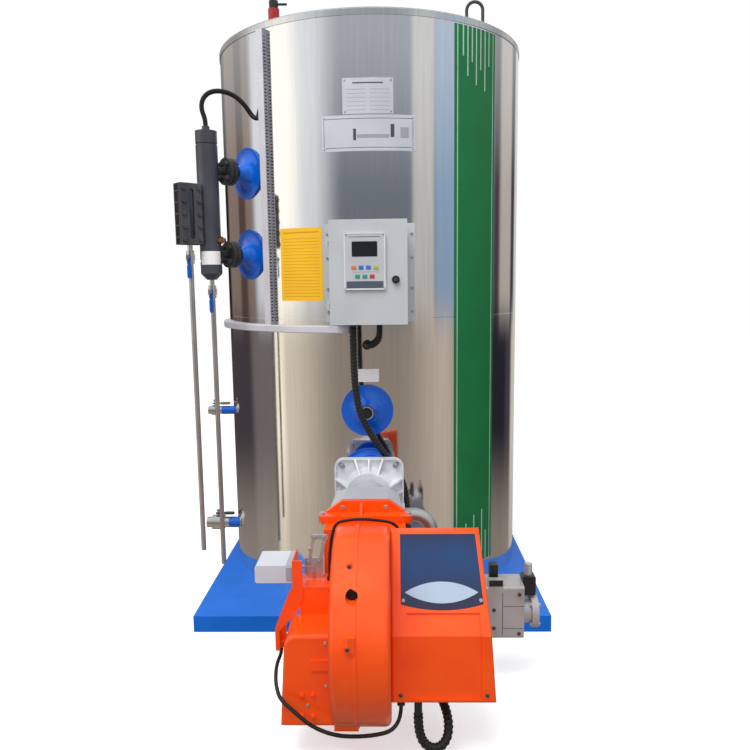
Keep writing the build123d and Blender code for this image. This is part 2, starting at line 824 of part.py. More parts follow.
# Plate sight gauge: a sandwich of plates with a glass slot, on two nipples from the column
gauge_plane = facing_plane(level_azimuth, gauge_base, gauge_reach - gauge_width / 2)
gauge_side = Plane(
    outward(level_azimuth) * gauge_reach + Vector(0, 0, gauge_base + gauge_height / 2),
    -outward(level_azimuth), along_shell(level_azimuth),
)
with BuildPart() as sight_gauge:
    with BuildSketch(gauge_plane):
        RectangleRounded(gauge_thickness, gauge_height, gauge_edge_radius, align=(Align.CENTER, Align.MIN))
    extrude(amount=gauge_width)
    for face_side in (1, -1):
        face = gauge_side.offset(face_side * (gauge_thickness / 2 - (1 + face_side) / 2 * gauge_slot_depth))
        with BuildSketch(face):
            SlotOverall(gauge_slot_height, gauge_slot_width, rotation=90)
        extrude(amount=gauge_slot_depth, mode=Mode.SUBTRACT)
        joint_offset = face_side * (gauge_thickness / 2 - gauge_plate_thickness) - gauge_joint_width / 2
        with BuildSketch(gauge_side.offset(joint_offset)):
            Rectangle(gauge_width, gauge_height)
            Rectangle(gauge_width - 2 * gauge_joint_depth, gauge_height - 2 * gauge_joint_depth,
                      mode=Mode.SUBTRACT)
        extrude(amount=gauge_joint_width, mode=Mode.SUBTRACT)
    for nipple_height in (gauge_nipple_inset, gauge_height - gauge_nipple_inset):
        with BuildSketch(facing_plane(level_azimuth, gauge_base + nipple_height, column_reach)):
            Circle(gauge_nipple_radius)
        extrude(amount=gauge_reach - gauge_width / 2 - column_reach)
    with Locations((column_place.X, column_place.Y, column_base)):
        Cylinder(column_radius + seat_gap, column_height,
                 align=(Align.CENTER, Align.CENTER, Align.MIN), mode=Mode.SUBTRACT)
write_piece(sight_gauge, "sight_gauge")

# Drains: each hangs from its column or gauge on a short neck, and its lever hangs down when open
gauge_place = outward(level_azimuth) * gauge_reach
drains = {
    "column": (column_place, column_base, column_pipe_foot),
    "gauge": (gauge_place, gauge_base, gauge_pipe_foot),
}
with BuildPart() as drain_valves:
    for place, top, foot in drains.values():
        low = -drain_neck_height - drain_valve_length
        with BuildSketch(half_profile_plane((place.X, place.Y), top)):
            with BuildLine():
                Polyline(
                    (0, 0), (drain_neck_radius, 0), (drain_neck_radius, -drain_neck_height),
                    (drain_end_radius, -drain_neck_height),
                    (drain_end_radius, -drain_neck_height - drain_end_length),
                    (drain_ball_radius, -drain_neck_height - drain_end_length),
                    (drain_ball_radius, low + drain_end_length), (drain_end_radius, low + drain_end_length),
                    (drain_end_radius, low), (0, low), (0, 0),
                )
            make_face()
        revolve(axis=upright_axis((place.X, place.Y)))
        stem_height = top - drain_neck_height - drain_valve_length / 2
        with BuildSketch(Plane((place.X, place.Y, stem_height), (1, 0, 0), (0, -1, 0))):
            Circle(drain_stem_radius)
        extrude(amount=drain_stem_reach)
        with BuildSketch(Plane((place.X, place.Y - drain_stem_reach, stem_height), (1, 0, 0), (0, -1, 0))):
            Circle(drain_nut_radius)
        extrude(amount=drain_nut_height)
write_piece(drain_valves, "drain_valves")

with BuildPart() as drain_pipes:
    for place, top, foot in drains.values():
        pipe_top = top - drain_neck_height - drain_valve_length
        with BuildSketch(Plane.XY.offset(foot)):
            with Locations((place.X, place.Y)):
                Circle(drain_pipe_radius)
        extrude(amount=pipe_top - foot)
write_piece(drain_pipes, "drain_pipes")

for name, (place, top, foot) in drains.items():
    stem_height = top - drain_neck_height - drain_valve_length / 2
    lever_plane = Plane((place.X, place.Y - drain_lever_offset, stem_height), (1, 0, 0), (0, -1, 0))
    with BuildPart() as drain_lever:
        with BuildSketch(lever_plane):
            Circle(drain_lever_hub_radius)
            Rectangle(drain_lever_width, drain_lever_length, align=(Align.CENTER, Align.MAX))
            Circle(drain_stem_radius + pin_gap, mode=Mode.SUBTRACT)
        extrude(amount=drain_lever_thickness)
        grip_lift = (drain_grip_thickness - drain_lever_thickness) / 2
        with BuildSketch(lever_plane.offset(-grip_lift)):
            with Locations((0, -drain_lever_length)):
                SlotOverall(drain_grip_length, drain_grip_width, rotation=90,
                            align=(Align.MIN, Align.CENTER))
        extrude(amount=drain_grip_thickness)
    write_piece(drain_lever, f"{name}_drain_lever")

# Feed and blowdown valves: blue nipples in the shell, then ball valves with flat levers
with BuildPart() as side_nipples:
    for height, radius, end in (
        (feed_height, feed_nipple_radius, feed_nipple_end),
        (blowdown_height, blowdown_nipple_radius, blowdown_nipple_end),
    ):
        with BuildSketch(Plane((-end, -side_valve_reach, height), (0, 1, 0), (1, 0, 0))):
            Circle(radius)
        extrude(amount=end - shell_radius + side_valve_reach)
    cut_shell_seat()
write_piece(side_nipples, "side_nipples")

side_valves = {
    "feed": (feed_height, feed_nipple_end, feed_valve_end, feed_end_radius, feed_ball_radius,
             feed_bore_radius, feed_bore_depth, feed_lever_length),
    "blowdown": (blowdown_height, blowdown_nipple_end, blowdown_valve_end, blowdown_end_radius,
                 blowdown_ball_radius, blowdown_bore_radius, blowdown_bore_depth, blowdown_lever_length),
}
for name, (height, start, end, end_radius, ball_radius, bore_radius, bore_depth, reach) in side_valves.items():
    length = end - start
    end_length = length * side_end_share
    valve_plane = Plane((-start, -side_valve_reach, height), (-1, 0, 0), (0, 1, 0))
    middle_x = -(start + end) / 2
    lever_height = height + ball_radius + side_lever_clearance
    with BuildPart() as side_valve:
        with BuildSketch(valve_plane):
            with BuildLine():
                Polyline(
                    (0, 0), (0, end_radius), (end_length, end_radius), (end_length, ball_radius),
                    (length - end_length, ball_radius), (length - end_length, end_radius),
                    (length, end_radius), (length, 0), (0, 0),
                )
            make_face()
        revolve(axis=Axis((-start, -side_valve_reach, height), (-1, 0, 0)))
        with BuildSketch(Plane((-end, -side_valve_reach, height), (0, 1, 0), (1, 0, 0))):
            Circle(bore_radius)
        extrude(amount=bore_depth, mode=Mode.SUBTRACT)
        with BuildSketch(Plane((middle_x, -side_valve_reach, height + ball_radius / 2))):
            Circle(side_stem_radius)
        extrude(amount=ball_radius / 2 + side_stem_rise)
        with BuildSketch(Plane((middle_x, -side_valve_reach, height + ball_radius + side_stem_rise))):
            Circle(side_nut_radius)
        extrude(amount=side_nut_height)
    write_piece(side_valve, f"{name}_valve")

    lever_plane = Plane((middle_x, -side_valve_reach, lever_height))
    with BuildPart() as side_lever:
        with BuildSketch(lever_plane):
            Circle(side_lever_hub_radius)
            Rectangle(reach, side_lever_width, align=(Align.MIN, Align.CENTER))
            Circle(side_stem_radius + pin_gap, mode=Mode.SUBTRACT)
        extrude(amount=side_lever_thickness)
        with BuildSketch(lever_plane.offset((side_lever_thickness - side_grip_thickness) / 2)):
            with Locations((reach, 0)):
                SlotOverall(reach * side_grip_share, side_grip_width, align=(Align.MAX, Align.CENTER))
        extrude(amount=side_grip_thickness)
    write_piece(side_lever, f"{name}_lever")

# Control box: back plate on two rails, sheet box, door with panel, buttons and lock
with BuildPart() as box_back_plate:
    with BuildSketch(front_plane(wing_plate_reach, box_base)):
        with Locations((box_center_x, 0)):
            Rectangle(wing_plate_width, door_height, align=(Align.CENTER, Align.MIN))
    extrude(amount=wing_plate_thickness)
    with BuildSketch(front_plane(wing_plate_reach, box_base)):
        with Locations((box_center_x, door_height / 2)):
            with GridLocations(wing_rail_spacing, wing_rail_spacing, 2, 1):
                Rectangle(wing_rail_width, door_height)
    extrude(amount=-wing_plate_reach / 2)
    cut_shell_seat()
write_piece(box_back_plate, "box_back_plate")

inner_width = door_width - 2 * box_inset
inner_height = door_height - 2 * box_inset
hinge_x = box_left - hinge_axis_offset
hinge_heights = (box_base + hinge_inset, box_top - hinge_inset - 2 * hinge_knuckle_length)
hinge_place = Vector(hinge_x, -door_rear_reach, 0)
with BuildPart() as control_box:
    with BuildSketch(front_plane(box_rear_reach, box_base + box_inset)):
        with Locations((box_center_x, 0)):
            Rectangle(inner_width, inner_height, align=(Align.CENTER, Align.MIN))
    extrude(amount=box_front_reach - box_rear_reach)
    with BuildSketch(front_plane(box_rear_reach + box_wall, box_base + box_inset + box_wall)):
        with Locations((box_center_x, 0)):
            Rectangle(inner_width - 2 * box_wall, inner_height - 2 * box_wall,
                      align=(Align.CENTER, Align.MIN))
    extrude(amount=box_front_reach - box_rear_reach, mode=Mode.SUBTRACT)
    for hinge_height in hinge_heights:
        with BuildSketch(Plane((hinge_place.X, hinge_place.Y, hinge_height))):
            Circle(hinge_knuckle_radius)
            with Locations((0, hinge_leaf_clearance)):
                Rectangle(hinge_axis_offset + box_inset, hinge_leaf_thickness, align=(Align.MIN, Align.MIN))
            with Locations((hinge_axis_offset + box_inset, hinge_leaf_clearance)):
                Rectangle(hinge_leaf_thickness, door_gap + box_wall, align=(Align.MAX, Align.MIN))
        extrude(amount=hinge_knuckle_length)
        with BuildSketch(Plane((hinge_place.X, hinge_place.Y, hinge_height))):
            Circle(hinge_pin_radius)
        extrude(amount=2 * hinge_knuckle_length)
write_piece(control_box, "control_box")

with BuildPart() as control_box_door:
    with BuildSketch(front_plane(door_rear_reach, box_base)):
        with Locations((box_center_x, door_height / 2)):
            RectangleRounded(door_width, door_height, door_corner_radius)
    extrude(amount=door_depth)
    with BuildSketch(front_plane(door_rear_reach, box_base)):
        with Locations((box_center_x, door_height / 2)):
            Rectangle(door_width - 2 * door_skin, door_height - 2 * door_skin)
    extrude(amount=door_depth - door_skin, mode=Mode.SUBTRACT)
    for hinge_height in hinge_heights:
        knuckle_base = hinge_height + hinge_knuckle_length + seat_gap
        with BuildSketch(Plane((hinge_place.X, hinge_place.Y, knuckle_base))):
            Circle(hinge_knuckle_radius)
            with Locations((0, -hinge_leaf_clearance)):
                Rectangle(hinge_axis_offset + door_skin / 2, hinge_leaf_thickness, align=(Align.MIN, Align.MAX))
            Circle(hinge_pin_radius + pin_gap, mode=Mode.SUBTRACT)
        extrude(amount=hinge_knuckle_length)
write_piece(control_box_door, "control_box_door")

with BuildPart() as control_panel:
    with BuildSketch(front_plane(door_front_reach, panel_center_height)):
        with Locations((panel_center_x, 0)):
            RectangleRounded(panel_width, panel_height, panel_corner_radius)
    extrude(amount=panel_thickness)
    with BuildSketch(front_plane(door_front_reach + panel_thickness - screen_recess, panel_center_height)):
        with Locations((panel_center_x, screen_rise)):
            RectangleRounded(screen_width, screen_height, screen_corner_radius)
    extrude(amount=screen_recess, mode=Mode.SUBTRACT)
write_piece(control_panel, "control_panel")

with BuildPart() as panel_buttons:
    with BuildSketch(front_plane(door_front_reach + panel_thickness, panel_center_height)):
        for drop, count in ((button_upper_drop, button_upper_count), (button_lower_drop, button_lower_count)):
            with Locations((panel_center_x, -drop)):
                with GridLocations(button_pitch, button_pitch, count, 1):
                    Rectangle(button_width, button_height)
    extrude(amount=button_thickness)
write_piece(panel_buttons, "panel_buttons")

with BuildPart() as door_lock:
    with BuildSketch(front_plane(door_front_reach)):
        with Locations(lock_place):
            Circle(lock_radius)
    extrude(amount=lock_thickness)
    with BuildSketch(front_plane(door_front_reach + lock_thickness)):
        with Locations(lock_place):
            Circle(lock_boss_radius)
    extrude(amount=lock_boss_thickness)
write_piece(door_lock, "door_lock")

# Sight port: a spun dish and a short tube
with BuildPart() as sight_port_cone:
    with BuildSketch(section_plane(port_azimuth, port_height)):
        with BuildLine():
            dish_outline(dish_radius, port_dish_rise, port_tube_radius)
        make_face()
    revolve(axis=Axis((0, 0, port_height), outward(port_azimuth)))
    cut_shell_seat()
write_piece(sight_port_cone, "sight_port_cone")

port_crown = shell_radius + port_dish_rise
with BuildPart() as sight_port_tube:
    with BuildSketch(facing_plane(port_azimuth, port_height, port_crown)):
        Circle(port_tube_radius)
    extrude(amount=port_tube_length)
    with BuildSketch(facing_plane(port_azimuth, port_height, port_crown + port_tube_length)):
        Circle(port_bore_radius)
    extrude(amount=-port_bore_depth, mode=Mode.SUBTRACT)
write_piece(sight_port_tube, "sight_port_tube")

# Burner neck: dish, round neck and the flange that the burner bolts to
with BuildPart() as burner_neck:
    with BuildSketch(section_plane(0, burner_height)):
        with BuildLine():
            dish_outline(neck_dish_radius, neck_dish_rise, neck_radius)
        make_face()
    revolve(axis=Axis((0, 0, burner_height), outward(0)))
    cut_shell_seat()
    with BuildSketch(front_plane(shell_radius + neck_dish_rise, burner_height)):
        Circle(neck_radius)
    extrude(amount=burner_flange_reach - shell_radius - neck_dish_rise)
    with BuildSketch(front_plane(burner_flange_reach - neck_flange_thickness, burner_height)):
        Circle(neck_flange_radius)
    extrude(amount=neck_flange_thickness)
write_piece(burner_neck, "burner_neck")


def burner_rib_plane(angle):
    """Plane through the burner's axis, with x to the front and y across at an angle from upright."""
    return Plane((0, 0, burner_height), outward(0), (-cos(radians(angle)), 0, sin(radians(angle))))


with BuildPart() as burner_flange:
    with BuildSketch(front_plane(burner_flange_reach, burner_height)):
        RectangleRounded(burner_flange_size, burner_flange_size, burner_flange_corner)
    extrude(amount=burner_flange_thickness + burner_rim_rise)
    inner_size = burner_flange_size - 2 * burner_rim_width
    with BuildSketch(front_plane(flange_front, burner_height)):
        RectangleRounded(inner_size, inner_size, burner_flange_corner - burner_rim_width)
    extrude(amount=burner_rim_rise, mode=Mode.SUBTRACT)
    with BuildSketch(front_plane(burner_flange_reach, burner_height)):
        with PolarLocations(burner_slot_radius, burner_slot_count, start_angle=180 / burner_slot_count):
            SlotOverall(burner_slot_length, burner_slot_width)
    extrude(amount=burner_flange_thickness, mode=Mode.SUBTRACT)
    with BuildSketch(section_plane(0, burner_height)):
        with BuildLine():
            Polyline(
                (flange_front, 0), (flange_front, burner_hub_foot_radius),
                (burner_hub_reach, burner_hub_radius), (burner_hub_reach, 0), (flange_front, 0),
            )
        make_face()
    revolve(axis=Axis((0, 0, burner_height), outward(0)))
    for side in range(burner_slot_count):
        for fan in (-1, 0, 1):
            rib_foot = (burner_flange_size - burner_rim_width) / 2 / cos(radians(fan * burner_rib_fan_angle))
            with BuildSketch(burner_rib_plane(side * burner_rib_side_angle + fan * burner_rib_fan_angle)):
                with BuildLine():
                    Polyline(
                        (flange_front, 0), (flange_front, rib_foot),
                        (flange_front + burner_rim_rise, rib_foot), (burner_hub_reach, burner_hub_radius),
                        (burner_hub_reach, 0), (flange_front, 0),
                    )
                make_face()
            extrude(amount=burner_rib_thickness / 2, both=True)
write_piece(burner_flange, "burner_flange")


def head_section(half_width):
    """Outline of the burner head, with both upper corners sloped off."""
    shoulder = head_half_height - head_shoulder_drop
    crown = half_width - head_shoulder_width
    Polyline(
        (-half_width, -head_half_height), (half_width, -head_half_height), (half_width, shoulder),
        (crown, head_half_height), (-crown, head_half_height), (-half_width, shoulder), close=True,
    )


with BuildPart() as burner_head:
    with BuildSketch(front_plane(head_box_reach, burner_height)):
        with BuildLine():
            head_section(head_rear_half_width)
        make_face()
    with BuildSketch(front_plane(head_front_reach, burner_height)):
        with BuildLine():
            head_section(head_front_half_width)
        make_face()
    loft()
    with BuildSketch(front_plane(burner_hub_reach, burner_height)):
        Circle(head_tube_radius)
    extrude(amount=head_box_reach - burner_hub_reach)
    with BuildSketch(Plane((0, -gas_reach, burner_height), (0, 1, 0), (1, 0, 0))):
        Circle(head_boss_radius)
    extrude(amount=head_boss_end)
write_piece(burner_head, "burner_head")

# Yoke with the ledge that carries its hinge lugs
ledge_base = burner_height + ledge_rise
with BuildPart() as burner_yoke:
    with BuildSketch(front_plane(head_front_reach, burner_height)):
        with BuildLine():
            Polyline(
                (-yoke_top_half_width, yoke_half_height), (yoke_top_half_width, yoke_half_height),
                (yoke_half_width, yoke_shoulder_rise), (yoke_half_width, -yoke_half_height),
                (-yoke_half_width, -yoke_half_height), (-yoke_half_width, yoke_shoulder_rise), close=True,
            )
        make_face()
    extrude(amount=yoke_thickness)
    with BuildSketch(Plane.XY.offset(ledge_base)):
        with Locations((0, -yoke_front_reach - ledge_depth / 2)):
            RectangleRounded(2 * ledge_half_width, ledge_depth, ledge_corner_radius)
        with Locations((0, -yoke_front_reach)):
            Rectangle(2 * yoke_half_width, ledge_depth / 2, align=(Align.CENTER, Align.MAX))
    extrude(amount=ledge_height)
    with BuildSketch(side_plane(ledge_rib_center_x + ledge_rib_width / 2)):
        with BuildLine():
            Polyline(
                (yoke_front_reach, ledge_base), (yoke_front_reach + ledge_depth, ledge_base),
                (yoke_front_reach + ledge_depth, ledge_base + ledge_height),
                (yoke_front_reach, ledge_base + ledge_height + ledge_rib_rise), close=True,
            )
        make_face()
    extrude(amount=ledge_rib_width)
write_piece(burner_yoke, "burner_yoke")


# Fan scroll: a drum with rounded rims and a joint rib, cut flat where it meets the yoke, with its outlet
crest_radius = scroll_radius - scroll_edge_radius
crest_reach = scroll_reach - crest_radius * sin(radians(scroll_crest_angle))
crest_height = scroll_height + crest_radius * cos(radians(scroll_crest_angle))
outlet_top = burner_height - scroll_outlet_drop
with BuildPart() as fan_volute:
    with BuildSketch(front_plane(scroll_reach, scroll_height)) as drum_profile:
        with Locations((scroll_left, 0)):
            Rectangle(scroll_right - scroll_left, scroll_radius, align=(Align.MIN, Align.MIN))
        fillet(drum_profile.vertices().sort_by(Axis.Y)[-2:], radius=scroll_edge_radius)
        with Locations((scroll_rib_center_x, 0)):
            Rectangle(scroll_rib_width, scroll_radius + scroll_rib_rise, align=(Align.CENTER, Align.MIN))
    revolve(axis=Axis((0, -scroll_reach, scroll_height), (1, 0, 0)))
    with BuildSketch(front_plane(yoke_front_reach, scroll_height)):
        Rectangle(2 * scroll_radius, 2 * scroll_radius)
    extrude(amount=-scroll_radius, mode=Mode.SUBTRACT)
    with BuildSketch(side_plane(scroll_right)):
        with BuildLine():
            Polyline(
                (yoke_front_reach, outlet_top), (yoke_front_reach, outlet_top - scroll_outlet_height),
                (scroll_reach, scroll_height), (crest_reach, crest_height), close=True,
            )
        make_face()
    extrude(amount=scroll_right - scroll_left)
    with BuildSketch(front_plane(scroll_reach, scroll_height)):
        with Locations((scroll_boss_center_x, scroll_boss_rise)):
            Circle(scroll_boss_radius)
    extrude(amount=scroll_boss_forward)
    with BuildSketch(front_plane(scroll_reach, scroll_height)):
        with Locations((scroll_latch_center_x, scroll_latch_rise)):
            Rectangle(scroll_latch_width, scroll_latch_height)
        ear_center_x = scroll_latch_center_x - scroll_latch_width / 2
        with Locations((ear_center_x, scroll_latch_rise - scroll_latch_height / 4)):
            Circle(scroll_latch_ear_radius)
    extrude(amount=scroll_latch_forward)
    with BuildSketch(front_plane(scroll_reach, scroll_height)):
        with Locations((scroll_port_center_x, scroll_port_rise)):
            Circle(scroll_port_radius)
    extrude(amount=scroll_radius, mode=Mode.SUBTRACT)
    with BuildSketch(Plane.XY.offset(scroll_height - scroll_foot_drop)):
        with Locations((scroll_foot_center_x, -scroll_reach - scroll_foot_forward)):
            Rectangle(scroll_foot_width, scroll_foot_depth)
    extrude(amount=scroll_foot_rise)
    with BuildSketch(Plane.XY.offset(ledge_base)):
        with Locations((0, -yoke_front_reach)):
            Rectangle(2 * throat_half_width, throat_depth, align=(Align.CENTER, Align.MAX))
    extrude(amount=-throat_height)
write_piece(fan_volute, "fan_volute")

# Air intake box on the scroll's left side, with a higher step behind
with BuildPart() as air_intake_box:
    with BuildSketch(front_plane(intake_step_reach)):
        with BuildLine():
            Polyline(
                (intake_left_foot, intake_base), (scroll_left, intake_base), (scroll_left, intake_top),
                (intake_left_crown, intake_top), close=True,
            )
        make_face()
    extrude(amount=intake_front_reach - intake_step_reach)
    left_edges = air_intake_box.edges().filter_by(Axis.Y).sort_by(Axis.X)
    fillet(left_edges[:2].sort_by(Axis.Z)[-1:], radius=intake_corner_radius)
    fillet(air_intake_box.faces().sort_by(Axis.Y)[0].edges(), radius=intake_edge_radius)
    with BuildSketch(front_plane(intake_front_reach, scroll_height)):
        with Locations(((intake_pad_left + intake_pad_right) / 2, -intake_pad_drop)):
            Rectangle(intake_pad_right - intake_pad_left, intake_pad_height)
        with Locations((intake_boss_center_x, -intake_boss_drop)):
            with GridLocations(intake_boss_pitch, intake_boss_spread, 2, 2):
                Circle(intake_boss_radius)
    extrude(amount=intake_relief_rise)
    with BuildSketch(front_plane(intake_step_reach)):
        with Locations((scroll_left, intake_base)):
            step_width = scroll_left - intake_step_left
            Rectangle(step_width, intake_step_top - intake_base, align=(Align.MAX, Align.MIN))
    extrude(amount=intake_step_backward - intake_backward)
write_piece(air_intake_box, "air_intake_box")

# Bracket on the intake's step: strip, arm and cable trough, with the servo on its side flange
bracket_foot = scroll_height - bracket_foot_drop
servo_base = scroll_height + servo_above
servo_front_reach = intake_step_reach - servo_set_back
trough_rear_reach = intake_step_reach - bracket_trough_depth
with BuildPart() as servo_bracket:
    with BuildSketch(front_plane(intake_step_reach)):
        with BuildLine():
            Polyline(
                *[(bracket_left + across * bracket_width, bracket_foot + up * bracket_height)
                  for across, up in bracket_outline_shares],
                close=True,
            )
        make_face()
    extrude(amount=bracket_thickness)
    flange_base = bracket_foot + bracket_height * bracket_flange_base_share
    with BuildSketch(front_plane(intake_step_reach - bracket_flange_depth, flange_base)):
        with Locations((strip_left, 0)):
            Rectangle(bracket_thickness, bracket_height * (1 - bracket_flange_base_share),
                      align=(Align.MIN, Align.MIN))
    extrude(amount=bracket_flange_depth)
    trough_height = bracket_height * bracket_trough_share
    with BuildSketch(front_plane(trough_rear_reach, bracket_foot)):
        with Locations((bracket_left, 0)):
            Rectangle(bracket_thickness, trough_height, align=(Align.MIN, Align.MIN))
    extrude(amount=bracket_trough_depth)
    with BuildSketch(front_plane(trough_rear_reach, bracket_foot)):
        with Locations((bracket_left, 0)):
            Rectangle(bracket_trough_width, trough_height, align=(Align.MIN, Align.MIN))
    extrude(amount=bracket_thickness)
    with BuildSketch(Plane.XY.offset(bracket_foot)):
        with Locations((motor_cable_points[0][0], motor_cable_points[0][1])):
            Circle(cable_gland_radius)
    extrude(amount=cable_gland_length)
write_piece(servo_bracket, "servo_bracket")

with BuildPart() as servo_motor:
    with BuildSketch(front_plane(servo_front_reach - servo_depth, servo_base)):
        with Locations((strip_left, 0)):
            Rectangle(servo_width, servo_height, align=(Align.MAX, Align.MIN))
    extrude(amount=servo_depth)
    fillet(servo_motor.edges().filter_by(Axis.Y), radius=servo_corner_radius)
write_piece(servo_motor, "servo_motor")

# Damper link: a cam plate with two leaning arms, a shaft to the servo's flange and a rod into the intake
link_reach = scroll_reach + link_forward
cam_base = intake_step_top + link_cam_clearance
with BuildPart() as damper_linkage:
    with BuildSketch(front_plane(link_reach, cam_base)):
        with Locations((link_center_x, 0)):
            RectangleRounded(link_cam_size, link_cam_size, link_corner_radius, align=(Align.CENTER, Align.MIN))
        with Locations((link_center_x, link_cam_size / 2)):
            with GridLocations(link_arm_spacing, link_arm_spacing, 2, 1):
                Rectangle(
                    link_arm_width, link_arm_length, rotation=-link_arm_lean, align=(Align.CENTER, Align.MIN),
                )
        head_shift = link_arm_length * sin(radians(link_arm_lean))
        with Locations((link_center_x + head_shift, link_cam_size / 2 + link_arm_length)):
            head_corner = link_head_height / 3
            RectangleRounded(link_head_width, link_head_height, head_corner, align=(Align.CENTER, Align.MAX))
    extrude(amount=link_thickness)
    shaft_left = strip_left + bracket_thickness
    shaft_reach = link_reach + link_thickness / 2
    shaft_start = (shaft_left, -shaft_reach, cam_base + link_cam_size / 2)
    with BuildSketch(Plane(shaft_start, (0, 1, 0), (1, 0, 0))):
        Circle(link_rod_radius)
    extrude(amount=link_center_x - shaft_left)
    with BuildSketch(Plane.XY.offset(intake_step_top)):
        with Locations((link_center_x, -shaft_reach)):
            Circle(link_rod_radius)
    extrude(amount=link_cam_clearance + link_cam_size / 2)
write_piece(damper_linkage, "damper_linkage")

# Electrical panel cover on the scroll's right side, with a sloping smoked window
shoulder_rise = Vector(0, cover_foot_reach - cover_shoulder_reach, cover_shoulder_height - cover_foot_height)
crown_rise = Vector(0, cover_shoulder_reach - cover_crown_reach, cover_crown_height - cover_shoulder_height)
cover_front_plane = Plane((0, -cover_foot_reach, cover_foot_height), (1, 0, 0),
                          Vector(1, 0, 0).cross(shoulder_rise))
window_plane = Plane((0, -cover_shoulder_reach, cover_shoulder_height), (1, 0, 0),
                     Vector(1, 0, 0).cross(crown_rise))


def cover_right(height):
    """Right-hand edge of the panel cover at a height."""
    share = (height - cover_foot_height) / (cover_crown_height - cover_foot_height)
    return cover_right_foot + (cover_right_crown - cover_right_foot) * share


def window_outline(inset):
    """Outline of the window on its slope, with a bowed lower edge, drawn in by an inset."""
    left = scroll_right + window_left_margin + inset
    low_share = window_low / crown_rise.length
    low_height = cover_shoulder_height + (cover_crown_height - cover_shoulder_height) * low_share
    low_right = cover_right(low_height) - window_right_margin - inset
    high_right = cover_right(cover_crown_height) - window_right_margin - inset
    low = window_low + inset
    high = crown_rise.length - window_top_margin - inset
    Polyline((left, low), (left, high), (high_right, high), (low_right, low))
    ThreePointArc((low_right, low), ((left + low_right) / 2, low - window_sag), (left, low))


with BuildPart() as panel_cover:
    with BuildSketch(side_plane(cover_right_foot)):
        with BuildLine():
            Polyline(
                (cover_rear_reach, cover_foot_height), (cover_foot_reach, cover_foot_height),
                (cover_shoulder_reach, cover_shoulder_height), (cover_crown_reach, cover_crown_height),
                (cover_rear_reach, cover_crown_height), close=True,
            )
        make_face()
    extrude(amount=cover_right_foot - scroll_right)
    with BuildSketch(front_plane(cover_rear_reach)):
        with BuildLine():
            Polyline(
                (scroll_right, cover_foot_height), (cover_right_foot, cover_foot_height),
                (cover_right_crown, cover_crown_height), (scroll_right, cover_crown_height), close=True,
            )
        make_face()
    extrude(amount=cover_foot_reach - cover_rear_reach, mode=Mode.INTERSECT)
    front_faces = [face for face in panel_cover.faces() if face.normal_at().Y < -front_facing_share]
    front_edges = [
        edge for face in front_faces for edge in face.edges()
        if abs(edge.center().Z - cover_shoulder_height) > seat_gap
    ]
    fillet(front_edges, radius=cover_edge_radius)
    rail_left = scroll_right + cover_rail_left
    rail_right = cover_right_foot - cover_rail_right
    with BuildSketch(cover_front_plane):
        with Locations(((rail_left + rail_right) / 2, cover_rim)):
            recess_height = shoulder_rise.length - cover_rim
            Rectangle(rail_right - rail_left, recess_height, align=(Align.CENTER, Align.MIN))
    extrude(amount=-cover_recess_depth, mode=Mode.SUBTRACT)
    with BuildSketch(window_plane):
        with Locations(((rail_left + rail_right) / 2, 0)):
            Rectangle(rail_right - rail_left, cover_recess_rise, align=(Align.CENTER, Align.MIN))
    extrude(amount=-cover_recess_depth, mode=Mode.SUBTRACT)
    with BuildSketch(window_plane):
        with BuildLine():
            window_outline(0)
        make_face()
    extrude(amount=-window_recess, mode=Mode.SUBTRACT)
write_piece(panel_cover, "panel_cover")

with BuildPart() as panel_window:
    with BuildSketch(window_plane.offset(-window_recess)):
        with BuildLine():
            window_outline(seat_gap)
        make_face()
    extrude(amount=window_thickness)
write_piece(panel_window, "panel_window")

# Gas train: valve block with its display and inlet flange, two plugs and the pipe up to the burner head
with BuildPart() as gas_valve:
    with BuildSketch(Plane((gas_valve_left, -gas_reach, gas_height), (0, 1, 0), (1, 0, 0))):
        with Locations((0, (gas_valve_above - gas_valve_below) / 2)):
            RectangleRounded(gas_valve_depth, gas_valve_above + gas_valve_below, gas_valve_edge)
    extrude(amount=gas_valve_right - gas_valve_left)
    with BuildSketch(Plane.XY.offset(gas_valve_top - gas_valve_edge)):
        with Locations((gas_display_left, -gas_reach - gas_valve_depth / 2)):
            Rectangle(gas_display_width, gas_display_depth, align=(Align.MIN, Align.MIN))
    extrude(amount=gas_valve_edge + gas_display_height)
    for radius, start, end in (
        (gas_neck_radius, gas_valve_right, gas_flange_end),
        (gas_flange_radius, gas_flange_end - gas_flange_thickness, gas_flange_end),
    ):
        with BuildSketch(Plane((start, -gas_reach, gas_height), (0, 1, 0), (1, 0, 0))):
            Circle(radius)
        extrude(amount=end - start)
    with BuildSketch(Plane((gas_flange_end, -gas_reach, gas_height), (0, 1, 0), (1, 0, 0))):
        Circle(gas_bore_radius)
    extrude(amount=-gas_bore_depth, mode=Mode.SUBTRACT)
write_piece(gas_valve, "gas_valve")

with BuildPart() as gas_valve_plugs:
    plug_base = gas_height + plug_rise
    with BuildSketch(Plane.XY.offset(plug_base)):
        with Locations((gas_valve_right, -gas_reach)):
            Rectangle(plug_width, plug_depth, align=(Align.MIN, Align.CENTER))
    extrude(amount=plug_height)
    fillet(gas_valve_plugs.edges().filter_by(Axis.Y).sort_by(Axis.X)[-2:], radius=plug_corner_radius)
    with BuildSketch(Plane.XY.offset(plug_base + plug_height)):
        with Locations((gas_valve_right + plug_width / 2, -gas_reach)):
            Circle(plug_cap_radius)
    extrude(amount=plug_cap_height)
    with BuildSketch(Plane.XY.offset(gas_valve_top)):
        with Locations((connector_left, -gas_reach)):
            Rectangle(connector_width, connector_depth, align=(Align.MIN, Align.CENTER))
    extrude(amount=connector_height)
write_piece(gas_valve_plugs, "gas_valve_plugs")

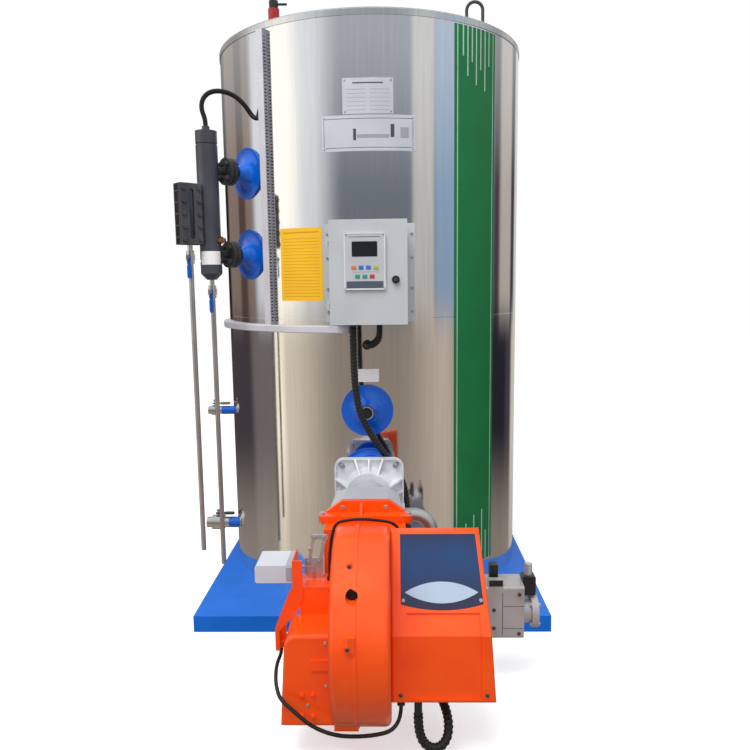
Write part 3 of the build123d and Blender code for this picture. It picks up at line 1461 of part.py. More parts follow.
with BuildPart() as gas_pipe:
    with BuildLine() as gas_path:
        FilletPolyline(
            (gas_valve_left, -gas_reach, gas_height), (gas_pipe_riser_x, -gas_reach, gas_height),
            (gas_pipe_riser_x, -gas_reach, burner_height), (head_boss_end, -gas_reach, burner_height),
            radius=gas_pipe_bend,
        )
    with BuildSketch(Plane((gas_valve_left, -gas_reach, gas_height), (0, 1, 0), (-1, 0, 0))):
        Circle(gas_pipe_radius)
    sweep(path=gas_path.wire())
write_piece(gas_pipe, "gas_pipe")

# Glands where the conduits and cables enter the box, the shell and the burner's panel
with BuildPart() as box_glands:
    gland_base = box_base + box_inset - box_gland_length
    with BuildSketch(Plane.XY.offset(gland_base)):
        with Locations((burner_conduit_points[0][0], burner_conduit_points[0][1]),
                       (loop_conduit_points[0][0], loop_conduit_points[0][1])):
            Circle(box_gland_radius)
    extrude(amount=box_gland_length)
    entry = loop_conduit_points[-1]
    with BuildSketch(Plane(entry, (-1, 0, 0), (0, 1, 0))):
        Circle(box_gland_radius)
    extrude(amount=-entry[1] - shell_radius + cut_overrun)
    cut_shell_seat()
write_piece(box_glands, "box_glands")

with BuildPart() as panel_glands:
    for route in (burner_conduit_points, motor_cable_points):
        entry = route[-1]
        with BuildSketch(Plane.XY.offset(entry[2])):
            with Locations((entry[0], entry[1])):
                Circle(cable_gland_radius)
        extrude(amount=cover_foot_height - entry[2])
    start, end = servo_cable_points[0], servo_cable_points[-1]
    with BuildSketch(Plane.XY.offset(intake_step_top)):
        with Locations((start[0], start[1])):
            Circle(servo_gland_radius)
    extrude(amount=start[2] - intake_step_top)
    with BuildSketch(front_plane(cover_rear_reach)):
        with Locations((end[0], end[2])):
            Circle(servo_gland_radius)
    extrude(amount=-end[1] - cover_rear_reach)
write_piece(panel_glands, "panel_glands")

# Cables and conduits, each a tube of straight runs and tangent arcs
cables = {
    "column_cable": (column_cable_points, column_cable_radius),
    "burner_conduit": (burner_conduit_points, burner_conduit_radius),
    "motor_cable": (motor_cable_points, motor_cable_radius),
    "servo_cable": (servo_cable_points, servo_cable_radius),
    "box_conduit_loop": (loop_conduit_points, loop_conduit_radius),
}
for name, (route, radius) in cables.items():
    points, radii = cable_route(route)
    with BuildPart() as cable:
        with BuildLine() as path:
            FilletPolyline(*points, radius=radii)
        with BuildSketch(Plane(points[0], z_dir=points[1] - points[0])):
            Circle(radius)
        sweep(path=path.wire())
    report_cable(name, cable, radius, path.wire().length, radii)
    write_piece(cable, name)
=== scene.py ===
"""Looks of an upright gas steam generator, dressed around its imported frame, in metres.

The floor is z = 0, the boiler's axis is the Z axis and the burner points to -Y, the front.
An azimuth is measured from the front, in degrees, positive towards +X.
"""

import json
import logging
import math
from dataclasses import dataclass, field
from enum import Enum
from typing import Iterable, Sequence

import bmesh
import bpy
from mathutils import Matrix, Vector

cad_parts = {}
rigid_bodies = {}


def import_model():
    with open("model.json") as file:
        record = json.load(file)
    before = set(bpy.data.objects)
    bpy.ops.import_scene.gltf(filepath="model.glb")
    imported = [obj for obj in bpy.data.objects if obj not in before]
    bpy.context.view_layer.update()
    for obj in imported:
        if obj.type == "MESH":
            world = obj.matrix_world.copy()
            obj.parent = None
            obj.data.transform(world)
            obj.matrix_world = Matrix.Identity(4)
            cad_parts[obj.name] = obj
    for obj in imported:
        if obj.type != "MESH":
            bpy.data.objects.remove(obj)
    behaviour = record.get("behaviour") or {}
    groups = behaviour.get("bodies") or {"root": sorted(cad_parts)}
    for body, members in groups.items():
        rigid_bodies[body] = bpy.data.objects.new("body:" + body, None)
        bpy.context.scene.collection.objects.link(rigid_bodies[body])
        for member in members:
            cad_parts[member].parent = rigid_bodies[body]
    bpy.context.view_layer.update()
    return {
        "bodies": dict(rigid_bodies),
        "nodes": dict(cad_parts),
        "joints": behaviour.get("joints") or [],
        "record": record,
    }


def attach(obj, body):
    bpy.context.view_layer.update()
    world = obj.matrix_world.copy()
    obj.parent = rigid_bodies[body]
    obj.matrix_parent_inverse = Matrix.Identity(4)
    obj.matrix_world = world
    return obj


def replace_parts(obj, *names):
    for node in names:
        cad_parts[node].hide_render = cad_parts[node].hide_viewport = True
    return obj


log = logging.getLogger("steam_generator")

Color = tuple[float, float, float]
Point = tuple[float, float, float]
Pair = tuple[float, float]
Quad = tuple[float, float, float, float]

SHELL_RADIUS = 0.725
FILM_LIFT = 0.0003
INK_THICKNESS = 0.0002
FRONT = (0.0, -1.0, 0.0)
FACE_FRONT = Matrix.Rotation(math.pi / 2, 4, "X")
QUARTERS = tuple(math.radians(45 + 90 * quarter) for quarter in range(4))
DUST_COLOR = (0.46, 0.43, 0.39)
SHEET_DUST = (0.5, 0.48, 0.45)
DUST_DULLING = 0.35


def linear(color: Color) -> tuple[float, float, float, float]:
    """Colour with full alpha, as a colour socket takes it."""
    return (*color, 1.0)


def upward(height: float) -> Vector:
    """Vector straight up, of a given length."""
    return Vector((0.0, 0.0, height))


def outward(azimuth: float) -> Vector:
    """Unit vector away from the boiler's axis at an azimuth in degrees."""
    return Vector((math.sin(math.radians(azimuth)), -math.cos(math.radians(azimuth)), 0.0))


def along_shell(azimuth: float) -> Vector:
    """Unit vector along the shell at an azimuth, to the right as seen from outside."""
    return Vector((math.cos(math.radians(azimuth)), math.sin(math.radians(azimuth)), 0.0))


def facing(place: Sequence[float], axis: Sequence[float], turn: float = 0.0) -> Matrix:
    """Placement that carries a form made along +Z to a place and axis.

    Args:
        place: Where the form's foot goes.
        axis: Direction that the form's +Z takes.
        turn: Angle about the axis, in degrees.

    Returns:
        The placement matrix.
    """
    spin = Matrix.Rotation(math.radians(turn), 4, "Z")
    return Matrix.Translation(Vector(place)) @ Vector(axis).to_track_quat("Z", "Y").to_matrix().to_4x4() @ spin


class NodeTree:
    """A node tree with short ways to add and join nodes."""

    def __init__(self, tree: bpy.types.NodeTree) -> None:
        """Wrap a tree and empty it."""
        self.tree = tree
        self.tree.nodes.clear()

    def add(self, kind: str, inputs: dict | None = None, **settings: object) -> bpy.types.Node:
        """Add a node.

        Args:
            kind: Node type without its ShaderNode prefix.
            inputs: Values or output sockets for input sockets, by name or index.
            settings: Properties of the node.

        Returns:
            The new node.
        """
        node = self.tree.nodes.new(kind if kind.startswith("NodeGroup") else f"ShaderNode{kind}")
        for name, value in settings.items():
            setattr(node, name, value)
        return self.fill(node, inputs or {})

    def fill(self, node: bpy.types.Node, inputs: dict) -> bpy.types.Node:
        """Set a node's inputs, by name or index, to values or join output sockets to them."""
        for key, value in inputs.items():
            if isinstance(value, bpy.types.NodeSocket):
                self.tree.links.new(value, node.inputs[key])
            else:
                node.inputs[key].default_value = value
        return node

    def group(self, group: bpy.types.NodeTree, **inputs: object) -> bpy.types.Node:
        """Place a node group, with its inputs by name."""
        return self.fill(self.add("Group", node_tree=group), inputs)

    def mix(self, share: object, first: object, second: object) -> bpy.types.NodeSocket:
        """Mix two colours by a share and return the result socket."""
        return self.add("Mix", {0: share, 6: first, 7: second}, data_type="RGBA").outputs[2]

    def math(self, operation: str, *values: object) -> bpy.types.NodeSocket:
        """Apply a math operation and return its result socket."""
        return self.add("Math", dict(enumerate(values)), operation=operation).outputs[0]

    def remap(self, value: bpy.types.NodeSocket, low: float, high: float, to_low: float, to_high: float,
              smooth: bool = False) -> bpy.types.NodeSocket:
        """Map a value from one range to another, held at the ends."""
        node = self.add("MapRange", {"Value": value, "From Min": low, "From Max": high, "To Min": to_low,
                                     "To Max": to_high}, interpolation_type="SMOOTHSTEP" if smooth else "LINEAR")
        return node.outputs[0]


def new_group(name: str, inputs: dict[str, tuple[str, float]], outputs: dict[str, str]) -> NodeTree:
    """Start a shader node group with named sockets.

    Args:
        name: Name of the group.
        inputs: Socket type and default by input name; a vector takes no default.
        outputs: Socket type by output name.

    Returns:
        The empty group's node tree.
    """
    group = NodeTree(bpy.data.node_groups.new(name, "ShaderNodeTree"))
    for label, (kind, default) in inputs.items():
        socket = group.tree.interface.new_socket(label, in_out="INPUT", socket_type=f"NodeSocket{kind}")
        if kind == "Float":
            socket.default_value = default
    for label, kind in outputs.items():
        group.tree.interface.new_socket(label, in_out="OUTPUT", socket_type=f"NodeSocket{kind}")
    return group


class Effects:
    """Shader node groups that several finishes share, each built once, and the materials made with them."""

    def __init__(self) -> None:
        """Build every group."""
        self.made: dict[str, bpy.types.Material] = {}
        self.grain = self._grain()
        self.dust = self._dust()
        self.streaks = self._streaks()

    @staticmethod
    def _grain() -> bpy.types.NodeTree:
        """Cloudy mottling and fine grain of a coat or casting."""
        group = new_group("surface_grain", {"Vector": ("Vector", 0.0), "Scale": ("Float", 200.0)},
                          {"Mottle": "Float", "Grain": "Float"})
        entry, exit_node = group.add("NodeGroupInput"), group.add("NodeGroupOutput")
        cloud = group.add("TexNoise", {"Vector": entry.outputs[0], "Scale": 7.0, "Detail": 4.0})
        fine = group.add("TexNoise", {"Vector": entry.outputs[0], "Scale": entry.outputs[1], "Detail": 3.0})
        mottle = group.remap(cloud.outputs[0], 0.35, 0.68, 0.0, 1.0, smooth=True)
        group.fill(exit_node, {0: mottle, 1: fine.outputs[0]})
        return group.tree

    @staticmethod
    def _dust() -> bpy.types.NodeTree:
        """Dust that lies on faces which look up, broken into patches."""
        group = new_group("settled_dust", {"Vector": ("Vector", 0.0), "Amount": ("Float", 0.3)}, {"Mask": "Float"})
        entry, exit_node = group.add("NodeGroupInput"), group.add("NodeGroupOutput")
        level = group.add("SeparateXYZ", {0: group.add("NewGeometry").outputs["Normal"]})
        upward = group.remap(level.outputs[2], 0.4, 1.0, 0.0, 1.0)
        patches = group.add("TexNoise", {"Vector": entry.outputs[0], "Scale": 9.0, "Detail": 6.0})
        broken = group.remap(patches.outputs[0], 0.38, 0.7, 0.15, 1.0)
        lying = group.math("MULTIPLY", group.math("MULTIPLY", upward, broken), entry.outputs[1])
        group.fill(exit_node, {0: lying})
        return group.tree

    @staticmethod
    def _streaks() -> bpy.types.NodeTree:
        """Long upright streaks and slow ripples of rolled sheet."""
        group = new_group("rolled_streaks", {"Vector": ("Vector", 0.0)}, {"Streak": "Float", "Ripple": "Float"})
        entry, exit_node = group.add("NodeGroupInput"), group.add("NodeGroupOutput")
        drawn = group.add("Mapping", {0: entry.outputs[0], "Scale": (1.0, 1.0, 0.04)})
        streak = group.add("TexNoise", {"Vector": drawn.outputs[0], "Scale": 70.0, "Detail": 5.0})
        slow = group.add("Mapping", {0: entry.outputs[0], "Scale": (1.0, 1.0, 0.35)})
        ripple = group.add("TexNoise", {"Vector": slow.outputs[0], "Scale": 5.0, "Detail": 2.0})
        group.fill(exit_node, {0: streak.outputs[0], 1: ripple.outputs[0]})
        return group.tree


@dataclass(frozen=True)
class Finish:
    """A coat, casting or moulding: two mixed tones, grain in its gloss and relief, and settled dust."""

    name: str
    color: Color
    tone: Color
    roughness: float
    spread: float = 0.08
    metallic: float = 0.0
    coat: float = 0.0
    grain_scale: float = 260.0
    relief: float = 0.0002
    dust: float = 0.15

    def material(self, effects: Effects) -> bpy.types.Material:
        """Build the material, or return it if it was built before."""
        if self.name in effects.made:
            return effects.made[self.name]
        material = effects.made[self.name] = bpy.data.materials.new(f"look_{self.name}")
        material.use_nodes = True
        tree = NodeTree(material.node_tree)
        shader = tree.add("BsdfPrincipled", {"Metallic": self.metallic, "Coat Weight": self.coat,
                                             "Coat Roughness": 0.06})
        tree.add("OutputMaterial", {0: shader.outputs[0]})
        self.dress(tree, shader, effects)
        material.diffuse_color = linear(self.color)
        return material

    def gloss(self, tree: NodeTree, pattern: bpy.types.NodeSocket) -> bpy.types.NodeSocket:
        """Roughness that follows a pattern, within the finish's spread."""
        return tree.remap(pattern, 0.3, 0.7, self.roughness - self.spread, self.roughness + self.spread)

    def dress(self, tree: NodeTree, shader: bpy.types.Node, effects: Effects) -> None:
        """Join the finish's patterns to the shader."""
        place = tree.add("TexCoord").outputs["Object"]
        grain = tree.group(effects.grain, Vector=place, Scale=self.grain_scale)
        dust = tree.group(effects.dust, Vector=place, Amount=self.dust)
        tones = tree.mix(grain.outputs["Mottle"], linear(self.color), linear(self.tone))
        dusted = tree.mix(dust.outputs[0], tones, linear(DUST_COLOR))
        rough = self.gloss(tree, grain.outputs["Grain"])
        dull = tree.math("ADD", rough, tree.math("MULTIPLY", dust.outputs[0], DUST_DULLING))
        bump = tree.add("Bump", {"Height": grain.outputs["Grain"], "Strength": 0.5, "Distance": self.relief})
        tree.fill(shader, {"Base Color": dusted, "Roughness": dull, "Normal": bump.outputs[0]})


@dataclass(frozen=True)
class MirrorSheet(Finish):
    """Polished rolled sheet with faint upright streaks."""

    ripple: float = 0.0012
    streak_share: float = 0.02

    def dress(self, tree: NodeTree, shader: bpy.types.Node, effects: Effects) -> None:
        """Join streaks to the gloss and ripples to the relief."""
        place = tree.add("TexCoord").outputs["Object"]
        sheet = tree.group(effects.streaks, Vector=place)
        dust = tree.group(effects.dust, Vector=place, Amount=self.dust)
        streak = tree.remap(sheet.outputs["Streak"], 0.3, 0.7, 0.0, 1.0)
        tones = tree.mix(streak, linear(self.color), linear(self.tone))
        dusted = tree.mix(dust.outputs[0], tones, linear(SHEET_DUST))
        rough = self.gloss(tree, sheet.outputs["Streak"])
        lines = tree.math("MULTIPLY", sheet.outputs["Streak"], self.streak_share)
        height = tree.math("ADD", sheet.outputs["Ripple"], lines)
        bump = tree.add("Bump", {"Height": height, "Strength": 0.35, "Distance": self.ripple})
        tree.fill(shader, {"Base Color": dusted, "Roughness": rough, "Normal": bump.outputs[0]})


@dataclass(frozen=True)
class SpunEnamel(Finish):
    """Enamel over spun sheet, with rings round the form's own centre."""

    center: Point = (0.0, 0.0, 0.0)
    ring_pitch: float = 0.012
    wave_scale: float = 0.314

    def dress(self, tree: NodeTree, shader: bpy.types.Node, effects: Effects) -> None:
        """Add spun rings to the coat."""
        super().dress(tree, shader, effects)
        place = tree.add("TexCoord").outputs["Object"]
        centred = tree.add("Mapping", {0: place, "Location": tuple(-value for value in self.center)})
        rings = tree.add("TexWave", {"Vector": centred.outputs[0], "Scale": self.wave_scale / self.ring_pitch,
                                     "Distortion": 0.6}, wave_type="RINGS", rings_direction="SPHERICAL")
        bump = tree.add("Bump", {"Height": rings.outputs["Fac"], "Strength": 0.35, "Distance": 0.0006})
        tree.fill(shader, {"Normal": bump.outputs[0]})


@dataclass(frozen=True)
class SmokedPane(Finish):
    """Dark smoked pane with a painted bluish reflection across its middle, with the heights of its foot, middle and
    top.
    """

    low: float = 0.46
    high: float = 0.60
    edge: float = 0.675
    edge_share: float = 0.1
    least_share: float = 0.65

    def dress(self, tree: NodeTree, shader: bpy.types.Node, effects: Effects) -> None:
        """Paint a bluish reflection across the pane's middle, fading out towards its foot and its darker top edge.
        """
        place = tree.add("TexCoord").outputs["Object"]
        height = tree.add("SeparateXYZ", {0: place}).outputs[2]
        cloud = tree.group(effects.grain, Vector=place, Scale=self.grain_scale)
        rise = tree.remap(height, self.low, self.high, 0.0, 1.0, smooth=True)
        fall = tree.remap(height, self.high, self.edge, 1.0, self.edge_share, smooth=True)
        patches = tree.remap(cloud.outputs["Mottle"], 0.0, 1.0, self.least_share, 1.0)
        # Share of the painted reflection: none at the foot, most across the middle, little at the top edge, broken
        # into patches.
        share = tree.math("MULTIPLY", tree.math("MULTIPLY", rise, patches), fall)
        shades = tree.mix(share, linear(self.color), linear(self.tone))
        tree.fill(shader, {"Base Color": shades, "Roughness": self.gloss(tree, cloud.outputs["Grain"])})


@dataclass(frozen=True)
class LightTable(Finish):
    """Pale stage that glows evenly, so that only contact shadows show on it."""

    glow: float = 0.45

    def dress(self, tree: NodeTree, shader: bpy.types.Node, effects: Effects) -> None:
        """Add the glow to the coat."""
        super().dress(tree, shader, effects)
        tree.fill(shader, {"Emission Color": linear((1.0, 1.0, 1.0)), "Emission Strength": self.glow})


JACKET = MirrorSheet("polished_jacket", (0.86, 0.85, 0.83), (0.80, 0.79, 0.77), 0.085, 0.03, metallic=1.0, dust=0.1)
ROOF_STEEL = MirrorSheet("roof_steel", (0.74, 0.74, 0.73), (0.66, 0.66, 0.65), 0.24, 0.06, metallic=1.0, dust=0.3)
BASE_BLUE = Finish("base_blue", (0.0, 0.160, 0.70), (0.0, 0.140, 0.64), 0.46, dust=0.03)
BURNER_ORANGE = Finish("burner_orange", (0.98, 0.090, 0.0), (0.93, 0.072, 0.0), 0.34, 0.07, coat=0.3,
                       grain_scale=420.0, relief=0.00012, dust=0.02)
BOX_GREY = Finish("box_grey", (0.52, 0.545, 0.55), (0.48, 0.505, 0.51), 0.42, grain_scale=700.0, relief=0.00018,
                  dust=0.1)
DUCT_GREY = Finish("duct_grey", (0.64, 0.62, 0.65), (0.58, 0.56, 0.59), 0.5, dust=0.1)
# Darker copy of the duct grey for the wire duct's side: painted shade, as that side faces away from the light.
DUCT_SIDE_PAINTED_SHADE = Finish("duct_side_painted_shade", (0.36, 0.36, 0.40), (0.30, 0.30, 0.34), 0.5, dust=0.1)
COLUMN_GREY = Finish("column_grey", (0.062, 0.064, 0.076), (0.046, 0.047, 0.056), 0.36, 0.08, coat=0.15, dust=0.2)
GAUGE_IRON = Finish("gauge_iron", (0.080, 0.081, 0.092), (0.045, 0.046, 0.054), 0.55, 0.12, grain_scale=180.0,
                    relief=0.0012, dust=0.25)
FLANGE_BLACK = Finish("flange_black", (0.022, 0.022, 0.024), (0.034, 0.033, 0.034), 0.42, relief=0.0004)
NICKEL = Finish("nickel", (0.72, 0.70, 0.66), (0.62, 0.60, 0.56), 0.20, 0.07, metallic=1.0, dust=0.1)
BRASS = Finish("brass", (0.62, 0.30, 0.10), (0.50, 0.22, 0.07), 0.28, 0.08, metallic=1.0)
PIPE_STEEL = Finish("pipe_steel", (0.60, 0.59, 0.57), (0.50, 0.49, 0.47), 0.34, 0.09, metallic=0.9)
LINK_STEEL = Finish("link_steel", (0.66, 0.67, 0.68), (0.50, 0.51, 0.52), 0.26, 0.09, metallic=0.75)
CAST_ALUMINIUM = Finish("cast_aluminium", (0.86, 0.88, 0.90), (0.66, 0.68, 0.70), 0.30, 0.12, metallic=0.1,
                        coat=0.3, grain_scale=320.0, relief=0.0005, dust=0.0)
VALVE_ALUMINIUM = Finish("valve_aluminium", (0.60, 0.57, 0.57), (0.46, 0.43, 0.43), 0.42, 0.12, metallic=0.55,
                         grain_scale=300.0, relief=0.0008, dust=0.15)
HEAD_GREY = Finish("head_grey", (0.42, 0.435, 0.45), (0.39, 0.405, 0.42), 0.40, coat=0.15)
RED_ENAMEL = Finish("red_enamel", (0.42, 0.012, 0.012), (0.33, 0.010, 0.010), 0.3, coat=0.4)
BLACK_PLASTIC = Finish("black_plastic", (0.012, 0.012, 0.013), (0.020, 0.020, 0.021), 0.42)
DARK_STEEL = Finish("dark_steel", (0.12, 0.12, 0.125), (0.085, 0.085, 0.09), 0.5, metallic=0.6)
LEVER_BLUE = Finish("lever_blue", (0.006, 0.080, 0.40), (0.006, 0.06, 0.32), 0.38, coat=0.2)
LEVER_TAN = Finish("lever_tan", (0.30, 0.20, 0.13), (0.24, 0.15, 0.10), 0.45)
LEVER_DARK = Finish("lever_dark", (0.05, 0.05, 0.06), (0.035, 0.035, 0.04), 0.45)
SERVO_WHITE = Finish("servo_white", (0.61, 0.64, 0.69), (0.58, 0.61, 0.66), 0.30, 0.06, coat=0.2, dust=0.0)
OVAL_PALE = Finish("oval_pale", (0.40, 0.50, 0.61), (0.37, 0.47, 0.58), 0.34, 0.06, dust=0.0)
PANEL_SILVER = Finish("panel_silver", (0.52, 0.53, 0.55), (0.47, 0.48, 0.50), 0.34, 0.06, relief=0.00006, dust=0.0)
BEZEL_WHITE = Finish("bezel_white", (0.74, 0.75, 0.76), (0.68, 0.69, 0.70), 0.30, 0.06, dust=0.0)
SCREEN_BLACK = Finish("screen_black", (0.006, 0.007, 0.009), (0.012, 0.013, 0.016), 0.10, 0.04, coat=0.5, dust=0.0)
BAND_SLATE = Finish("band_slate", (0.085, 0.098, 0.140), (0.075, 0.085, 0.12), 0.34, 0.06, dust=0.0)
KEY_RED = Finish("key_red", (0.55, 0.045, 0.03), (0.48, 0.04, 0.03), 0.40, dust=0.0)
KEY_ORANGE = Finish("key_orange", (0.70, 0.20, 0.10), (0.64, 0.17, 0.08), 0.40, dust=0.0)
KEY_BLUE = Finish("key_blue", (0.03, 0.19, 0.55), (0.03, 0.16, 0.48), 0.40, dust=0.0)
KEY_LIME = Finish("key_lime", (0.42, 0.46, 0.06), (0.38, 0.42, 0.05), 0.40, dust=0.0)
KEY_GREEN = Finish("key_green", (0.03, 0.33, 0.13), (0.03, 0.28, 0.11), 0.40, dust=0.0)
KEY_TEAL = Finish("key_teal", (0.03, 0.30, 0.32), (0.03, 0.26, 0.28), 0.40, dust=0.0)
PLATE_SILVER = Finish("plate_silver", (0.62, 0.64, 0.67), (0.55, 0.57, 0.60), 0.36, 0.08, metallic=0.25, dust=0.0)
PLATE_INK = Finish("plate_ink", (0.05, 0.05, 0.06), (0.08, 0.08, 0.09), 0.5, dust=0.0)
PLATE_GREY = Finish("plate_grey", (0.30, 0.31, 0.33), (0.36, 0.37, 0.39), 0.45, dust=0.0)
NOTICE_YELLOW = Finish("notice_yellow", (0.95, 0.53, 0.020), (0.91, 0.49, 0.018), 0.5, dust=0.0)
NOTICE_RULE = Finish("notice_rule", (0.62, 0.27, 0.015), (0.58, 0.24, 0.015), 0.5, dust=0.0)
LABEL_WHITE = Finish("label_white", (0.92, 0.91, 0.90), (0.86, 0.85, 0.84), 0.45, dust=0.0)
BANNER_GREEN = Finish("banner_green", (0.001, 0.185, 0.046), (0.001, 0.165, 0.040), 0.42, 0.06, coat=0.05, dust=0.0)
BANNER_PALE = Finish("banner_pale", (0.50, 0.68, 0.54), (0.42, 0.60, 0.47), 0.35, dust=0.0)
CABLE_BLACK = Finish("cable_black", (0.006, 0.006, 0.006), (0.011, 0.011, 0.010), 0.40, 0.10, dust=0.04)
# Its tone is the bluish painted reflection across the pane's middle; its colour is the pane's own smoked tint.
WINDOW_SMOKED = SmokedPane("window_smoked", (0.022, 0.021, 0.050), (0.004, 0.050, 0.17), 0.07, 0.03, coat=0.1,
                           dust=0.0)
GLASS_DARK = Finish("glass_dark", (0.010, 0.012, 0.014), (0.016, 0.018, 0.020), 0.08, 0.03, coat=0.5, dust=0.0)
# Black that stands in for the shade inside holes, slots and gaps: painted shade.
HOLE_PAINTED_SHADE = Finish("hole_painted_shade", (0.004, 0.004, 0.004), (0.007, 0.006, 0.006), 0.7, dust=0.0)
DISH_BLUE = Finish("dish_blue", (0.001, 0.120, 0.62), (0.001, 0.100, 0.54), 0.24, 0.05, coat=0.3, dust=0.0)
NOZZLE_BLUE = SpunEnamel("nozzle_blue", DISH_BLUE.color, DISH_BLUE.tone, 0.24, 0.05, coat=0.3, dust=0.0,
                         center=(-0.566, -0.528, 1.934))
PORT_BLUE = SpunEnamel("port_blue", DISH_BLUE.color, DISH_BLUE.tone, 0.24, 0.05, coat=0.3, dust=0.0,
                       center=(-0.009, -0.765, 0.917))
CAP_SMOKE = Finish("cap_smoke", (0.42, 0.42, 0.50), (0.36, 0.36, 0.44), 0.25, 0.06, coat=0.3, dust=0.0)
STAGE_WHITE = LightTable("stage_white", (0.90, 0.90, 0.90), (0.88, 0.88, 0.88), 0.7, dust=0.0)


class Form:
    """Small shapes made along +Z with mesh operators."""

    @staticmethod
    def turned(profile: Sequence[tuple[float, float]], steps: int = 28) -> bmesh.types.BMesh:
        """Turn a profile about the Z axis.

        Args:
            profile: Radius and height of each corner, from one end to the other.
            steps: Divisions of the turn.

        Returns:
            The closed form.
        """
        form = bmesh.new()
        verts = [form.verts.new((radius, 0.0, height)) for radius, height in profile]
        edges = [form.edges.new(pair) for pair in zip(verts, verts[1:])]
        bmesh.ops.spin(form, geom=verts + edges, cent=(0, 0, 0), axis=(0, 0, 1), angle=math.tau, steps=steps,
                       use_merge=True)
        bmesh.ops.remove_doubles(form, verts=form.verts, dist=1e-6)
        bmesh.ops.recalc_face_normals(form, faces=form.faces)
        return form

    @staticmethod
    def ease(form: bmesh.types.BMesh, edges: Sequence[bmesh.types.BMEdge], offset: float, segments: int) -> None:
        """Round a form's edges off."""
        bmesh.ops.bevel(form, geom=edges, offset=offset, offset_type="OFFSET", affect="EDGES", segments=segments,
                        profile=0.5, material=-1)

    @staticmethod
    def thicken(form: bmesh.types.BMesh) -> list[bmesh.types.BMVert]:
        """Extrude a sheet's faces and return the new corners."""
        raised = bmesh.ops.extrude_face_region(form, geom=form.faces[:])
        return [v for v in raised["geom"] if isinstance(v, bmesh.types.BMVert)]

    @staticmethod
    def disc(radius: float, thickness: float, steps: int) -> bmesh.types.BMesh:
        """Plain round disc."""
        return Form.turned([(0, 0), (radius, 0), (radius, thickness), (0, thickness)], steps)

    @staticmethod
    def pin(radius: float, foot: float, top: float, steps: int, ease: float = 0.001) -> bmesh.types.BMesh:
        """Round pin between two heights, eased at its top."""
        return Form.turned([(0, foot), (radius, foot), (radius, top - ease), (radius - ease, top), (0, top)], steps)

    @staticmethod
    def block(width: float, height: float, depth: float, corner: float, edge: float = 0.0,
              segments: int = 4) -> bmesh.types.BMesh:
        """Plate or block on its back face, with rounded corners and, if asked, a rounded front edge."""
        form = bmesh.new()
        bmesh.ops.create_cube(form, size=1.0)
        bmesh.ops.scale(form, vec=(width, height, depth), verts=form.verts)
        bmesh.ops.translate(form, vec=(0, 0, depth / 2), verts=form.verts)
        upright = [e for e in form.edges if abs(e.verts[0].co.z - e.verts[1].co.z) > depth / 2]
        Form.ease(form, upright, corner, segments)
        if edge:
            rim = [e for e in form.edges if min(v.co.z for v in e.verts) > depth * 0.99 and len(e.link_faces) == 2
                   and e.calc_face_angle() > 0.8]
            Form.ease(form, rim, edge, 2)
        return form

    @staticmethod
    def hexagon(across: float, height: float) -> bmesh.types.BMesh:
        """Hexagon nut or head with an eased upper rim."""
        form = bmesh.new()
        corner = across / 1.732
        bmesh.ops.create_cone(form, cap_ends=True, segments=6, radius1=corner, radius2=corner, depth=height)
        bmesh.ops.translate(form, vec=(0, 0, height / 2), verts=form.verts)
        rim = [e for e in form.edges if min(v.co.z for v in e.verts) > height * 0.9]
        Form.ease(form, rim, across * 0.06, 1)
        return form

    @staticmethod
    def screw(radius: float) -> bmesh.types.BMesh:
        """Pan-head screw with a socket."""
        return Form.turned([(0, 0), (radius, 0), (radius, radius * 0.35), (radius * 0.82, radius * 0.62),
                            (radius * 0.42, radius * 0.66), (radius * 0.36, radius * 0.25), (0, radius * 0.25)], 12)

    @staticmethod
    def ring(radius: float, bar: float, steps: int = 36) -> bmesh.types.BMesh:
        """Round bar bent to a ring."""
        form = bmesh.new()
        bmesh.ops.create_circle(form, segments=12, radius=bar)
        bmesh.ops.rotate(form, cent=(0, 0, 0), matrix=Matrix.Rotation(math.pi / 2, 3, "X"), verts=form.verts)
        bmesh.ops.translate(form, vec=(radius, 0, 0), verts=form.verts)
        bmesh.ops.spin(form, geom=form.verts[:] + form.edges[:], cent=(0, 0, 0), axis=(0, 0, 1), angle=math.tau,
                       steps=steps, use_merge=True)
        bmesh.ops.recalc_face_normals(form, faces=form.faces)
        return form

    @staticmethod
    def film(axis: Sequence[float], radius: float, start: float, end: float, low: float, high: float,
             thickness: float, steps: int = 12) -> bmesh.types.BMesh:
        """Thin sheet bent round an upright axis.

        Args:
            axis: Place of the axis in plan.
            radius: Radius of the sheet's back.
            start: First azimuth, in degrees.
            end: Last azimuth, in degrees.
            low: Lower edge.
            high: Upper edge.
            thickness: Thickness outwards.
            steps: Divisions of the bend.

        Returns:
            The closed sheet, in place.
        """
        form = bmesh.new()
        edge = outward(start) * radius
        verts = [form.verts.new((edge.x, edge.y, height)) for height in (low, high)]
        line = form.edges.new(verts)
        bmesh.ops.spin(form, geom=[*verts, line], cent=(0, 0, 0), axis=(0, 0, 1), angle=math.radians(end - start),
                       steps=steps)
        lift = (radius + thickness) / radius
        bmesh.ops.scale(form, vec=(lift, lift, 1.0), verts=Form.thicken(form))
        bmesh.ops.recalc_face_normals(form, faces=form.faces)
        bmesh.ops.translate(form, vec=(axis[0], axis[1], 0), verts=form.verts)
        return form


